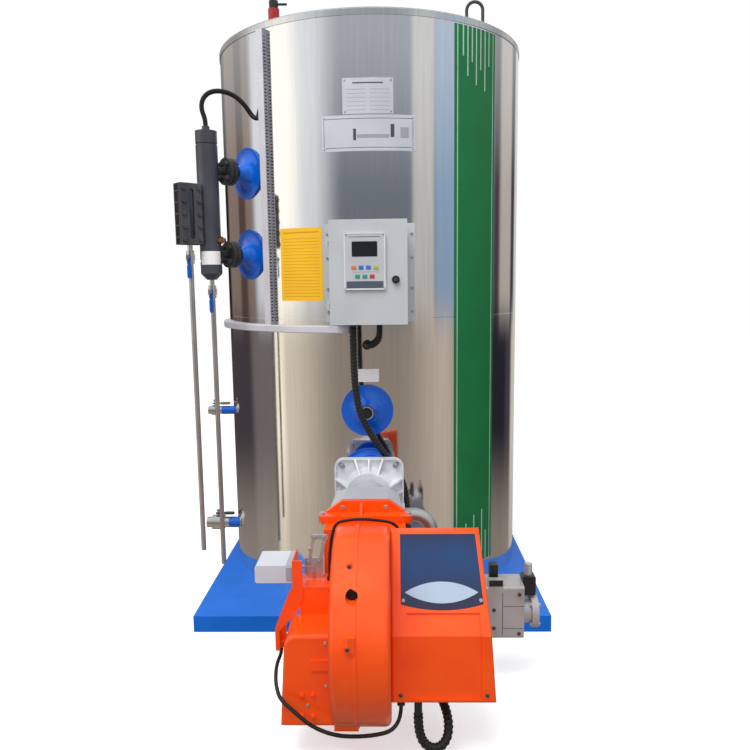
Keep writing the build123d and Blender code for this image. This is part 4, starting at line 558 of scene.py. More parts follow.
class Dressing:
    """One piece under construction: forms joined in place, each with its finish."""

    def __init__(self, name: str, slot: str, body: str = "boiler") -> None:
        """Start an empty piece.

        Args:
            name: Name of the piece.
            slot: Name of a material slot of the record; not used.
            body: Body that it rides on.
        """
        self.name, self.slot, self.body = name, slot, body
        self.mesh = bmesh.new()
        self.finishes: list[Finish] = []

    def add(self, form: bmesh.types.BMesh, finish: Finish, placement: Matrix | None = None) -> "Dressing":
        """Join a form to the piece in a finish, and free it."""
        if finish not in self.finishes:
            self.finishes.append(finish)
        for face in form.faces:
            face.material_index = self.finishes.index(finish)
        if placement is not None:
            bmesh.ops.transform(form, matrix=placement, verts=form.verts)
        carrier = bpy.data.meshes.new("carrier")
        form.to_mesh(carrier)
        form.free()
        self.mesh.from_mesh(carrier)
        bpy.data.meshes.remove(carrier)
        return self

    def place(self, effects: Effects, sharp: float = 32.0) -> bpy.types.Object:
        """Make the piece's object, with smooth faces between edges sharper than an angle."""
        for face in self.mesh.faces:
            face.smooth = True
        for edge in self.mesh.edges:
            if len(edge.link_faces) == 2 and edge.calc_face_angle() > math.radians(sharp):
                edge.smooth = False
        mesh = bpy.data.meshes.new(self.name)
        self.mesh.to_mesh(mesh)
        self.mesh.free()
        for finish in self.finishes:
            mesh.materials.append(finish.material(effects))
        piece = bpy.data.objects.new(self.name, mesh)
        bpy.context.scene.collection.objects.link(piece)
        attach(piece, self.body)
        log.info("%s: %d faces on %s", self.name, len(mesh.polygons), self.body)
        return piece


@dataclass
class Seat:
    """Finds the place on a carried-over node where a small piece sits."""

    nodes: dict[str, bpy.types.Object]
    clear_front: float = -3.0

    def on(self, node: str, start: Sequence[float], way: Sequence[float]) -> tuple[Vector, Vector]:
        """Point and normal where a straight line first meets a node.

        Args:
            node: Name of the carrying node.
            start: Start of the line.
            way: Direction of the line.

        Returns:
            The point and the outward normal.
        """
        hit, point, normal, _ = self.nodes[node].ray_cast(Vector(start), Vector(way))
        if not hit:
            raise ValueError(f"nothing of {node} lies on the line from {tuple(start)}")
        return point, normal

    def front(self, node: str, x: float, height: float) -> tuple[Vector, Vector]:
        """Point and normal on a node's front at a place."""
        return self.on(node, (x, self.clear_front, height), (0, 1, 0))


class Lay(Enum):
    """How a cable is made."""

    PLAIN = "plain"
    CORRUGATED = "corrugated"


@dataclass
class Cable:
    """A cable or conduit that goes back into the object at both ends."""

    node: str
    radius: float
    lay: Lay
    points: Sequence[Point]
    rib_step: float = 0.24
    groove: float = 0.86
    sides: int = 14

    def spline(self, name: str) -> bpy.types.Object:
        """Curve object with the route's points as control points."""
        curve = bpy.data.curves.new(name, "CURVE")
        curve.dimensions = "3D"
        curve.resolution_u = 10
        line = curve.splines.new("NURBS")
        line.points.add(len(self.points) - 1)
        for point, place in zip(line.points, self.points):
            point.co = (*place, 1.0)
        line.order_u = 3
        line.use_endpoint_u = True
        piece = bpy.data.objects.new(name, curve)
        bpy.context.scene.collection.objects.link(piece)
        return piece

    @staticmethod
    def read_path(piece: bpy.types.Object) -> list[Vector]:
        """Points of a bare curve, as the program evaluates it."""
        mesh = bpy.data.meshes.new_from_object(piece)
        path = [v.co.copy() for v in mesh.vertices]
        bpy.data.meshes.remove(mesh)
        return path

    @staticmethod
    def even_path(path: Sequence[Vector], pitch: float) -> list[Vector]:
        """Points at an even pitch along a read path."""
        spaced, carried = [path[0].copy()], 0.0
        for before, after in zip(path, path[1:]):
            run = (after - before).length
            while carried + run >= pitch:
                step = pitch - carried
                before = before.lerp(after, step / run)
                run -= step
                carried = 0.0
                spaced.append(before.copy())
            carried += run
        spaced.append(path[-1].copy())
        return spaced

    def build(self, effects: Effects) -> bpy.types.Object:
        bare = self.spline(self.node + "_run")
        path = self.read_path(bare)
        if self.lay is Lay.PLAIN:
            piece = bare
            piece.data.bevel_depth = self.radius
            piece.data.bevel_resolution = 4
            piece.data.use_fill_caps = True
            piece.data.materials.append(CABLE_BLACK.material(effects))
            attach(piece, "boiler")
        else:
            bpy.data.objects.remove(bare)
            piece = self.corrugated(path, effects)
        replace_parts(piece, self.node)
        return piece

    def corrugated(self, path: Sequence[Vector], effects: Effects) -> bpy.types.Object:
        """Ribbed tube along a path, drawn on ring by ring."""
        tube = Dressing(self.node + "_tube", "cable_black")
        stations = self.even_path(path, self.radius * self.rib_step)
        form = bmesh.new()
        ring = bmesh.ops.create_circle(form, cap_ends=True, segments=self.sides, radius=self.radius)["verts"]
        heading = (stations[1] - stations[0]).normalized()
        placement = Matrix.Translation(stations[0]) @ heading.to_track_quat("Z", "Y").to_matrix().to_4x4()
        bmesh.ops.transform(form, matrix=placement, verts=ring)
        front = form.faces[:]
        scale = 1.0
        for index, (before, after) in enumerate(zip(stations, stations[1:]), start=1):
            following = stations[min(index + 1, len(stations) - 1)]
            turned = (following - before).normalized()
            front = bmesh.ops.extrude_discrete_faces(form, faces=front)["faces"]
            verts = front[0].verts[:]
            bmesh.ops.translate(form, vec=after - before, verts=verts)
            swing = heading.rotation_difference(turned).to_matrix()
            bmesh.ops.rotate(form, cent=after, matrix=swing, verts=verts)
            wanted = self.groove if index % 4 in (2, 3) else 1.0
            ratio = wanted / scale
            bmesh.ops.scale(form, vec=(ratio,) * 3, space=Matrix.Translation(-after), verts=verts)
            heading, scale = turned, wanted
        tube.add(form, CABLE_BLACK)
        return tube.place(effects, sharp=60.0)


@dataclass
class Cabling:
    """Every cable and conduit of the machine."""

    cables: Sequence[Cable] = field(default_factory=lambda: (
        Cable("column_cable", 0.010, Lay.PLAIN, (
            (-0.6728, -0.6274, 2.110), (-0.6728, -0.6274, 2.140), (-0.688, -0.632, 2.182), (-0.678, -0.634, 2.224),
            (-0.646, -0.628, 2.250), (-0.602, -0.614, 2.255), (-0.556, -0.594, 2.242), (-0.520, -0.572, 2.212),
            (-0.497, -0.556, 2.176), (-0.4764, -0.5646, 2.150), (-0.4473, -0.5858, 2.150))),
        Cable("burner_conduit", 0.015, Lay.CORRUGATED, (
            (-0.058, -0.850, 1.286), (-0.058, -0.850, 1.170), (-0.054, -0.846, 1.040), (-0.040, -0.845, 0.940),
            (-0.004, -0.845, 0.858), (0.044, -0.845, 0.782), (0.096, -0.845, 0.712), (0.140, -0.846, 0.636),
            (0.152, -0.856, 0.548), (0.155, -0.894, 0.452), (0.158, -0.968, 0.362), (0.160, -1.078, 0.288),
            (0.163, -1.205, 0.230), (0.176, -1.330, 0.184), (0.205, -1.450, 0.152), (0.240, -1.552, 0.136),
            (0.262, -1.620, 0.112), (0.262, -1.662, 0.072), (0.240, -1.682, 0.044), (0.206, -1.687, 0.040),
            (0.178, -1.685, 0.064), (0.167, -1.680, 0.108), (0.167, -1.680, 0.150))),
        Cable("motor_cable", 0.006, Lay.PLAIN, (
            (-0.272, -1.520, 0.284), (-0.272, -1.520, 0.262), (-0.282, -1.560, 0.246), (-0.278, -1.612, 0.236),
            (-0.269, -1.660, 0.230), (-0.250, -1.712, 0.218), (-0.208, -1.731, 0.192), (-0.155, -1.738, 0.147),
            (-0.083, -1.740, 0.118), (-0.014, -1.738, 0.114), (0.038, -1.730, 0.114), (0.082, -1.716, 0.116),
            (0.106, -1.696, 0.132), (0.115, -1.678, 0.158), (0.115, -1.678, 0.180))),
        Cable("servo_cable", 0.005, Lay.PLAIN, (
            (-0.112, -1.490, 0.509), (-0.112, -1.490, 0.540), (-0.112, -1.476, 0.586), (-0.106, -1.459, 0.630),
            (-0.094, -1.450, 0.676), (-0.046, -1.448, 0.685), (-0.005, -1.448, 0.687), (0.040, -1.450, 0.684),
            (0.078, -1.443, 0.677), (0.102, -1.430, 0.662), (0.116, -1.420, 0.640), (0.122, -1.418, 0.606),
            (0.122, -1.453, 0.606))),
        Cable("box_conduit_loop", 0.011, Lay.CORRUGATED, (
            (0.050, -0.800, 1.286), (0.050, -0.800, 1.252), (0.047, -0.800, 1.222), (0.028, -0.796, 1.202),
            (0.008, -0.784, 1.194), (-0.006, -0.764, 1.196), (-0.006, -0.742, 1.196))),
    ))

    def build(self, effects: Effects) -> None:
        """Make every cable."""
        for cable in self.cables:
            cable.build(effects)


@dataclass
class JacketFilms:
    """Plates, notice, label and banner that lie on the round jacket.

    An area is its first and last azimuth, in degrees, and its lower and upper edge.
    """

    plate: Quad = (-7.3, 8.9, 2.128, 2.267)
    diagram: Quad = (-14.3, 16.0, 1.983, 2.124)
    notice: Quad = (-31.0, -15.0, 1.380, 1.685)
    port_label: Quad = (-3.64, 3.32, 1.038, 1.093)
    banner: Quad = (30.3, 49.7, 0.170, 2.500)
    plate_thickness: float = 0.0012
    film_thickness: float = 0.0004
    rays: Sequence[Pair] = ((0.17, 0.052), (0.27, 0.085), (0.37, 0.060), (0.47, 0.098), (0.58, 0.070),
                            (0.69, 0.105), (0.80, 0.060))
    rivet_radius: float = 0.0034
    rivet_inset: Pair = (0.75, 0.009)

    def sheet(self, dressing: Dressing, area: Sequence[float], finish: Finish, thickness: float,
              lift: float = 0.0, steps: int = 12) -> None:
        """Lay a thin sheet on the jacket."""
        form = Form.film((0, 0), SHELL_RADIUS + FILM_LIFT + lift, *area, thickness, steps)
        dressing.add(form, finish)

    @staticmethod
    def part_of(area: Sequence[float], left: float, right: float, low: float, high: float) -> Quad:
        """Part of an area, by shares of its width and height."""
        start, end, base, top = area
        return (start + (end - start) * left, start + (end - start) * right,
                base + (top - base) * low, base + (top - base) * high)

    def build(self, effects: Effects) -> None:
        """Make every sheet."""
        self.name_plate(effects)
        self.diagram_plate(effects)
        self.notice_sheet(effects)
        label = Dressing("sight_port_label", "polished_steel")
        self.sheet(label, self.port_label, LABEL_WHITE, self.film_thickness)
        label.place(effects)
        self.banner_film(effects)

    def rivets(self, dressing: Dressing, area: Sequence[float]) -> None:
        """Rivet a plate at its corners."""
        start, end, base, top = area
        inset_angle, inset = self.rivet_inset
        for azimuth in (start + inset_angle, end - inset_angle):
            for height in (base + inset, top - inset):
                foot = outward(azimuth) * (SHELL_RADIUS + FILM_LIFT + self.plate_thickness) + upward(height)
                dressing.add(Form.screw(self.rivet_radius), LINK_STEEL, facing(foot, outward(azimuth)))

    def mark(self, dressing: Dressing, area: Sequence[float], share: Sequence[float], finish: Finish,
             steps: int = 12) -> None:
        """Print a plain mark over part of a sheet, by shares of its width and height."""
        lift = self.plate_thickness if area in (self.plate, self.diagram) else self.film_thickness
        self.sheet(dressing, self.part_of(area, *share), finish, INK_THICKNESS, lift, steps)

    def name_plate(self, effects: Effects) -> None:
        """Bare rating plate with the ruled lines of an empty form."""
        dressing = Dressing("rating_plate", "polished_steel")
        self.sheet(dressing, self.plate, PLATE_SILVER, self.plate_thickness)
        self.mark(dressing, self.plate, (0.2, 0.8, 0.84, 0.875), PLATE_INK)
        for row in range(6):
            level = 0.1 + 0.115 * row
            for left, right in ((0.07, 0.46), (0.54, 0.93)):
                self.mark(dressing, self.plate, (left, right, level, level + 0.014), PLATE_GREY, 6)
        self.rivets(dressing, self.plate)
        dressing.place(effects)

    def diagram_plate(self, effects: Effects) -> None:
        """Bare instruction plate with its border line and a few plain bars."""
        dressing = Dressing("instruction_plate", "polished_steel")
        self.sheet(dressing, self.diagram, PLATE_SILVER, self.plate_thickness, steps=20)
        for share in ((0.03, 0.97, 0.09, 0.105), (0.03, 0.97, 0.895, 0.91),
                      (0.022, 0.027, 0.13, 0.87), (0.973, 0.978, 0.13, 0.87)):
            self.mark(dressing, self.diagram, share, PLATE_INK, 20)
        for share, finish in (((0.38, 0.72, 0.36, 0.46), PLATE_GREY), ((0.34, 0.37, 0.30, 0.62), PLATE_INK),
                              ((0.735, 0.775, 0.38, 0.74), PLATE_INK), ((0.84, 0.93, 0.36, 0.66), PLATE_GREY)):
            self.mark(dressing, self.diagram, share, finish, 8)
        self.rivets(dressing, self.diagram)
        dressing.place(effects)

    def notice_sheet(self, effects: Effects) -> None:
        """Yellow notice with blank ruled lines."""
        dressing = Dressing("notice_sheet", "polished_steel")
        self.sheet(dressing, self.notice, NOTICE_YELLOW, self.film_thickness)
        self.mark(dressing, self.notice, (0.08, 0.92, 0.93, 0.945), NOTICE_RULE)
        for row in range(19):
            level = 0.06 + 0.044 * row
            self.mark(dressing, self.notice, (0.07, 0.93, level, level + 0.006), NOTICE_RULE)
        dressing.place(effects)

    def banner_film(self, effects: Effects) -> None:
        """Green banner with pale side lines and rays at both ends."""
        dressing = Dressing("banner", "polished_steel")
        self.sheet(dressing, self.banner, BANNER_GREEN, self.film_thickness, steps=16)
        for left in (0.055, 0.925):
            self.mark(dressing, self.banner, (left, left + 0.018, 0.0, 1.0), BANNER_PALE, 2)
        for left, length in self.rays:
            for low, high in ((1.0 - length, 1.0), (0.0, length)):
                self.mark(dressing, self.banner, (left, left + 0.026, low, high), BANNER_PALE, 2)
        dressing.place(effects)


@dataclass
class LevelColumn:
    """Fittings of the water-level column, its nozzles and its sight gauge."""

    azimuth: float = -47.0
    column_reach: float = 0.920
    column_radius: float = 0.045
    gauge_reach: float = 1.016
    gauge_thickness: float = 0.062
    gauge_width: float = 0.093
    gauge_base: float = 1.620
    gauge_height: float = 0.250
    flange_reaches: Pair = (0.803, 0.840)
    flange_heights: Pair = (1.583, 1.934)
    bolt_circle: float = 0.042
    label_turn: Pair = (-48.0, 72.0)
    label_heights: Pair = (1.538, 1.594)
    label_thickness: float = 0.0004
    plug_azimuth: float = 68.0
    plug_height: float = 1.640
    bolt_head: Pair = (0.019, 0.009)
    bolt_end: Pair = (0.005, 0.016)
    glass_size: Quad = (0.0215, 0.204, 0.004, 0.0105)
    glass_depth: float = 0.0088
    clamp_nut: Pair = (0.017, 0.008)
    clamp_spread: float = 0.38
    clamp_pitch: float = 0.052
    bar_pitch: float = 0.047
    clamp_rows: range = range(-2, 3)

    def build(self, effects: Effects) -> None:
        """Make every fitting."""
        self.flange_bolts(effects)
        self.column_label(effects)
        self.gauge_glass(effects)

    def flange_bolts(self, effects: Effects) -> None:
        """Bolts through both flange pairs."""
        dressing = Dressing("nozzle_bolts", "flange_black")
        away = outward(self.azimuth)
        for height in self.flange_heights:
            for angle in QUARTERS:
                ring = along_shell(self.azimuth) * math.cos(angle) + upward(math.sin(angle))
                for reach, way in ((self.flange_reaches[0], -away), (self.flange_reaches[1], away)):
                    foot = away * reach + ring * self.bolt_circle + upward(height)
                    radius, top = self.bolt_end
                    for form in (Form.hexagon(*self.bolt_head), Form.pin(radius, 0.0, top, 10)):
                        dressing.add(form, DARK_STEEL, facing(foot, way))
        dressing.place(effects)

    def column_label(self, effects: Effects) -> None:
        """Bare label and brass plug on the column."""
        centre = outward(self.azimuth) * self.column_reach
        label = Dressing("column_label", "column_grey")
        form = Form.film((centre.x, centre.y), self.column_radius + FILM_LIFT, *self.label_turn,
                         *self.label_heights, self.label_thickness, 16)
        label.add(form, LABEL_WHITE)
        label.place(effects)
        plug = Dressing("column_plug", "nickel")
        way = outward(self.plug_azimuth)
        foot = centre + way * (self.column_radius - 0.001) + upward(self.plug_height)
        profile = [(0, 0), (0.012, 0), (0.012, 0.012), (0.009, 0.014), (0.009, 0.030), (0.007, 0.032), (0, 0.032)]
        plug.add(Form.turned(profile, 18), BRASS, facing(foot, way))
        plug.add(Form.hexagon(0.026, 0.010), BRASS, facing(foot + way * 0.010, way))
        plug.place(effects)

    def gauge_glass(self, effects: Effects) -> None:
        """Glass in the gauge's slots and the nuts along its clamps."""
        dressing = Dressing("gauge_glass", "gauge_iron")
        away = outward(self.azimuth)
        middle = away * self.gauge_reach + upward(self.gauge_base + self.gauge_height / 2)
        for side in (1, -1):
            way = along_shell(self.azimuth) * side
            foot = middle + way * (self.gauge_thickness / 2 - self.glass_depth)
            pane = Matrix.Translation(foot) @ Matrix((away * -side, upward(1), way)).transposed().to_4x4()
            dressing.add(Form.block(*self.glass_size, 0.001), GLASS_DARK, pane)
            for row in self.clamp_rows:
                for across in (-1, 1):
                    spot = middle + way * (self.gauge_thickness / 2) + upward(row * self.clamp_pitch) \
                        + away * across * self.gauge_width * self.clamp_spread
                    dressing.add(Form.hexagon(*self.clamp_nut), DARK_STEEL, facing(spot, way))
        self.gauge_gap(dressing)
        dressing.place(effects)

    def gauge_gap(self, dressing: Dressing) -> None:
        """Black strip of painted shade for the dark gap down the gauge's outer side, with pale clamp bars across it
        and a pale rim.
        """
        away, along = outward(self.azimuth), along_shell(self.azimuth)
        frame = Matrix((along, upward(1), away)).transposed().to_4x4()
        side = away * (self.gauge_reach + self.gauge_width / 2) + upward(self.gauge_base + self.gauge_height / 2)
        # The second strip is painted shade for the gap's dark inside.
        strips = [(-0.0285, 0.0, 0.005, self.gauge_height, 0.0, NICKEL),
                  (-0.011, 0.0, 0.030, self.gauge_height - 0.010, 0.0, HOLE_PAINTED_SHADE)]
        strips += [(-0.011, row * self.bar_pitch, 0.030, 0.0035, INK_THICKNESS, NICKEL) for row in self.clamp_rows]
        for across, rise, width, tall, lift, finish in strips:
            foot = side + along * across + upward(rise) + away * lift
            dressing.add(Form.block(width, tall, 0.0008, 0.0006), finish, Matrix.Translation(foot) @ frame)


@dataclass
class ControlBox:
    """Fittings of the control box, most of them on its door."""

    front: float = -0.963
    panel_center: Pair = (-0.003, 1.535)
    panel_size: Pair = (0.161, 0.218)
    screen_size: Pair = (0.0965, 0.0565)
    screen_rise: float = 0.046
    key_size: Pair = (0.019, 0.015)
    key_form: Point = (0.002, 0.003, 0.0006)
    key_pitch: float = 0.028
    key_drops: Pair = (0.023, 0.057)
    upper_keys: Sequence[Finish] = (KEY_ORANGE, KEY_BLUE, KEY_BLUE, KEY_LIME)
    lower_keys: Sequence[Finish] = (KEY_GREEN, KEY_TEAL, KEY_RED)
    lock_place: Point = (0.115, -0.970, 1.465)
    lock_collar: float = 0.0014
    wing_screws: Pair = (-0.163, 0.183)
    wing_heights: Quad = (1.335, 1.430, 1.555, 1.650)
    wing_front: float = -0.745
    wing_head: float = 0.0062
    panel_head: float = 0.0032

    def panel_spot(self, across: float, rise: float, lift: float = 0.0) -> Matrix:
        """Placement on the panel's front, from the panel's centre."""
        place = (self.panel_center[0] + across, self.front - lift, self.panel_center[1] + rise)
        return Matrix.Translation(place) @ FACE_FRONT

    def build(self, effects: Effects) -> None:
        """Make every fitting."""
        self.display(effects)
        self.keys(effects)
        self.lock(effects)
        self.fixings(effects)

    def display(self, effects: Effects) -> None:
        """Screen glass, bezel, lower band and corner screws of the panel."""
        dressing = Dressing("panel_face", "panel_plastic", "box_door")
        width, height = self.panel_size
        screen = self.panel_spot(0, self.screen_rise, -0.0018)
        dressing.add(Form.block(*self.screen_size, 0.0014, 0.004), SCREEN_BLACK, screen)
        bar, gap = 0.004, 0.016
        for rise in (height / 2 - bar, bar - height / 2):
            dressing.add(Form.block(width - gap, bar, 0.0012, 0.001), BEZEL_WHITE, self.panel_spot(0, rise))
        for across in (bar - width / 2, width / 2 - bar):
            dressing.add(Form.block(bar, height - gap, 0.0012, 0.001), BEZEL_WHITE, self.panel_spot(across, 0))
        for rise, short, tall, thick, corner, finish in ((-0.088, 0.020, 0.026, 0.0006, 0.003, BAND_SLATE),
                                                         (0.092, 0.040, 0.0022, 0.0005, 0.0006, BAND_SLATE),
                                                         (-0.040, 0.060, 0.0016, 0.0005, 0.0005, PLATE_GREY)):
            dressing.add(Form.block(width - short, tall, thick, corner), finish, self.panel_spot(0, rise))
        for across in (-1, 1):
            for rise in (-1, 1):
                spot = self.panel_spot(across * (width / 2 - 0.010), rise * (height / 2 - 0.010), INK_THICKNESS)
                dressing.add(Form.screw(self.panel_head), LINK_STEEL, spot)
        dressing.place(effects)

    def keys(self, effects: Effects) -> None:
        """Coloured keys in two rows, in place of the plain ones."""
        dressing = Dressing("membrane_keys", "button_plastic", "box_door")
        for drop, finishes in zip(self.key_drops, (self.upper_keys, self.lower_keys)):
            for index, finish in enumerate(finishes):
                across = (index - (len(finishes) - 1) / 2) * self.key_pitch
                key = Form.block(*self.key_size, *self.key_form)
                dressing.add(key, finish, self.panel_spot(across, -drop))
        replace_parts(dressing.place(effects), "panel_buttons")

    def lock(self, effects: Effects) -> None:
        """Key slot and collar of the door lock; the key slot is a thin black block of painted shade."""
        dressing = Dressing("lock_face", "black_plastic", "box_door")
        collar = [(0, 0), (0.0072, 0), (0.0072, 0.0008), (0.0064, self.lock_collar), (0, self.lock_collar)]
        dressing.add(Form.turned(collar, 24), DARK_STEEL, facing(self.lock_place, FRONT))
        slot = Matrix.Translation(Vector(self.lock_place) + Vector(FRONT) * self.lock_collar) @ FACE_FRONT
        dressing.add(Form.block(0.0022, 0.009, 0.0003, 0.0008), HOLE_PAINTED_SHADE, slot)
        dressing.place(effects)

    def fixings(self, effects: Effects) -> None:
        """Screws down both wings of the back plate."""
        dressing = Dressing("wing_screws", "box_grey")
        for x in self.wing_screws:
            for height in self.wing_heights:
                dressing.add(Form.screw(self.wing_head), LINK_STEEL, facing((x, self.wing_front, height), FRONT))
        dressing.place(effects)


@dataclass
class Burner:
    """Fasteners, plates and small fittings of the burner, its gas valve and the sight port above it."""

    seat: Seat
    flange_front: float = -0.892
    flange_height: float = 0.612
    slot_circle: float = 0.155
    yoke_screws: Sequence[Pair] = ((-0.080, 0.676), (0.071, 0.676))
    lug_pins: Sequence[Pair] = ((-0.150, -1.312), (0.150, -1.312))
    intake_screws: Sequence[Pair] = ((-0.169, 0.185), (-0.112, 0.247), (-0.112, 0.385))
    intake_bosses: Sequence[Pair] = ((-0.1855, 0.2185), (-0.1525, 0.2185), (-0.1855, 0.1515),
                                     (-0.1525, 0.1515))
    window_screws: Sequence[Pair] = ((0.125, 0.488), (0.362, 0.488))
    cover_screws: Sequence[Pair] = ((0.114, 0.222), (0.374, 0.222))
    valve_screws: Sequence[Pair] = ((0.457, 0.276), (0.457, 0.207), (0.548, 0.335), (0.548, 0.186))
    link_screws: Sequence[Pair] = ((-0.182, 0.553), (-0.147, 0.553), (-0.160, 0.637), (-0.130, 0.637),
                                   (-0.165, 0.520), (-0.176, 0.596))
    scroll_screws: Sequence[Pair] = ((-0.034, 0.454), (-0.033, 0.638))
    oval_center: Pair = (0.243, 0.507)
    oval_half: Pair = (0.113, 0.033)
    oval_thickness: float = 0.0016
    port_place: Point = (-0.024, -1.766, 0.574)
    port_radius: float = 0.0176
    port_axis: Pair = (-0.009, 0.917)
    rim_radius: float = 0.0255
    rim_bar: float = 0.002
    plug_cap: Point = (0.590, -1.190, 0.385)
    gas_flange: Pair = (0.598, 0.622)
    gas_axis: Pair = (-1.190, 0.247)
    gas_bolt_circle: float = 0.0515
    gas_nut: Pair = (0.0125, 0.007)
    slot_nut: Pair = (0.016, 0.010)
    lug_nut: Pair = (0.017, 0.009)
    cap_sides: Sequence[tuple[Point, Point, float]] = (((-0.239, -1.520, 0.528), FRONT, 0.046),
                                                       ((-0.239, -1.456, 0.557), (0.0, 0.0, 1.0), 0.126))
    cap_width: float = 0.024

    def build(self, effects: Effects) -> None:
        """Make every fitting."""
        self.flange_nuts(effects)
        self.screws(effects)
        self.scroll_port(effects)
        self.oval_plate(effects)
        self.valve_fittings(effects)
        self.servo_cap(effects)
        self.port_rim(effects)

    def port_rim(self, effects: Effects) -> None:
        """Bright rim round the sight port's tube."""
        dressing = Dressing("sight_port_rim", "link_steel")
        x, height = self.port_axis
        point, normal = self.seat.front("sight_port_tube", x, height + self.rim_radius)
        dressing.add(Form.ring(self.rim_radius, self.rim_bar), LINK_STEEL, facing((x, point.y, height), normal))
        dressing.place(effects)

    def flange_nuts(self, effects: Effects) -> None:
        """Studs and nuts in the flange's four slots."""
        dressing = Dressing("flange_nuts", "cast_aluminium")
        for angle in QUARTERS:
            height = self.flange_height + self.slot_circle * math.sin(angle)
            spot = facing((self.slot_circle * math.cos(angle), self.flange_front, height), FRONT)
            for form in (Form.disc(0.0105, 0.002, 20), Form.hexagon(*self.slot_nut),
                         Form.pin(0.005, -0.011, 0.017, 12)):
                dressing.add(form, LINK_STEEL, spot)
        dressing.place(effects)

    def screws(self, effects: Effects) -> None:
        """Screws on the burner's housings, window, linkage and gas valve, and nuts on the yoke's lugs."""
        dressing = Dressing("burner_screws", "link_steel")
        rows = ((self.yoke_screws, "burner_yoke", 0.0075, LINK_STEEL),
                (self.intake_screws, "air_intake_box", 0.005, LINK_STEEL),
                (self.intake_bosses, "air_intake_box", 0.0052, BURNER_ORANGE),
                (self.cover_screws, "panel_cover", 0.0065, DARK_STEEL),
                (self.window_screws, "panel_window", 0.006, LINK_STEEL),
                (self.valve_screws, "gas_valve", 0.007, DARK_STEEL),
                (self.scroll_screws, "fan_volute", 0.006, DARK_STEEL),
                (self.link_screws, "damper_linkage", 0.006, LINK_STEEL))
        for places, node, radius, finish in rows:
            for x, height in places:
                point, normal = self.seat.front(node, x, height)
                dressing.add(Form.screw(radius), finish, facing(point, normal))
        for x, depth in self.lug_pins:
            for start, way in ((3.0, -1), (0.0, 1)):
                point, normal = self.seat.on("burner_yoke", (x, depth, start), (0, 0, way))
                dressing.add(Form.hexagon(*self.lug_nut), LINK_STEEL, facing(point, normal))
        dressing.place(effects)

    def scroll_port(self, effects: Effects) -> None:
        """Black disc of painted shade for the dark inside of the scroll's port."""
        dressing = Dressing("scroll_port_painted_shade", "orange_paint")
        dressing.add(Form.disc(self.port_radius, 0.002, 24), HOLE_PAINTED_SHADE, facing(self.port_place, FRONT))
        dressing.place(effects)

    def oval_plate(self, effects: Effects) -> None:
        """Bare pale oval on the window."""
        dressing = Dressing("window_oval", "panel_plastic")
        x, height = self.oval_center
        spot, normal = self.seat.front("panel_window", x, height)
        form = bmesh.new()
        wide, tall = self.oval_half
        bow = (wide * wide + tall * tall) / (2 * tall)
        bmesh.ops.create_circle(form, cap_ends=True, segments=128, radius=bow)
        bmesh.ops.translate(form, vec=(0, tall - bow, 0), verts=form.verts)
        bmesh.ops.bisect_plane(form, geom=form.verts[:] + form.edges[:] + form.faces[:], plane_co=(0, 0, 0),
                               plane_no=(0, 1, 0), clear_inner=True)
        bmesh.ops.mirror(form, geom=form.verts[:] + form.edges[:] + form.faces[:], axis="Y", merge_dist=1e-5)
        bmesh.ops.recalc_face_normals(form, faces=form.faces)
        bmesh.ops.translate(form, vec=upward(self.oval_thickness), verts=Form.thicken(form))
        bmesh.ops.recalc_face_normals(form, faces=form.faces)
        tilt = Matrix((Vector((1, 0, 0)), normal.cross(Vector((1, 0, 0))), normal)).transposed().to_4x4()
        dressing.add(form, OVAL_PALE, Matrix.Translation(spot + normal * INK_THICKNESS) @ tilt)
        dressing.place(effects)

    def valve_fittings(self, effects: Effects) -> None:
        """Bare dark label, joint lines, plug cap and flange bolts of the gas valve."""
        dressing = Dressing("gas_valve_fittings", "cast_aluminium")
        strips = ((0.4635, 0.377, 0.049, 0.023, BLACK_PLASTIC), (0.488, 0.262, 0.0022, 0.160, DARK_STEEL),
                  (0.527, 0.290, 0.074, 0.0018, DARK_STEEL), (0.527, 0.206, 0.074, 0.0018, DARK_STEEL))
        for x, height, width, tall, finish in strips:
            spot, _ = self.seat.front("gas_valve", x, height)
            dressing.add(Form.block(width, tall, 0.0006, 0.0006), finish, Matrix.Translation(spot) @ FACE_FRONT)
        cap = [(0.0122, 0), (0.0136, 0), (0.0136, 0.041), (0.0124, 0.043), (0, 0.043), (0, 0.0404), (0.0122, 0.0404),
               (0.0122, 0)]
        dressing.add(Form.turned(cap, 24), LINK_STEEL, facing(self.plug_cap, (0, 0, 1)))
        depth, height = self.gas_axis
        for angle in QUARTERS:
            across, rise = self.gas_bolt_circle * math.cos(angle), self.gas_bolt_circle * math.sin(angle)
            for reach, way in zip(self.gas_flange, (-1, 1)):
                foot = (reach, depth + across, height + rise)
                dressing.add(Form.hexagon(*self.gas_nut), LINK_STEEL, facing(foot, (way, 0, 0)))
        dressing.place(effects)

    def servo_cap(self, effects: Effects) -> None:
        """Smoky end cap wrapped over the servo's right end."""
        dressing = Dressing("servo_cap", "servo_white")
        for place, way, tall in self.cap_sides:
            dressing.add(Form.block(self.cap_width, tall, 0.0008, 0.003), CAP_SMOKE, facing(place, way))
        dressing.place(effects)


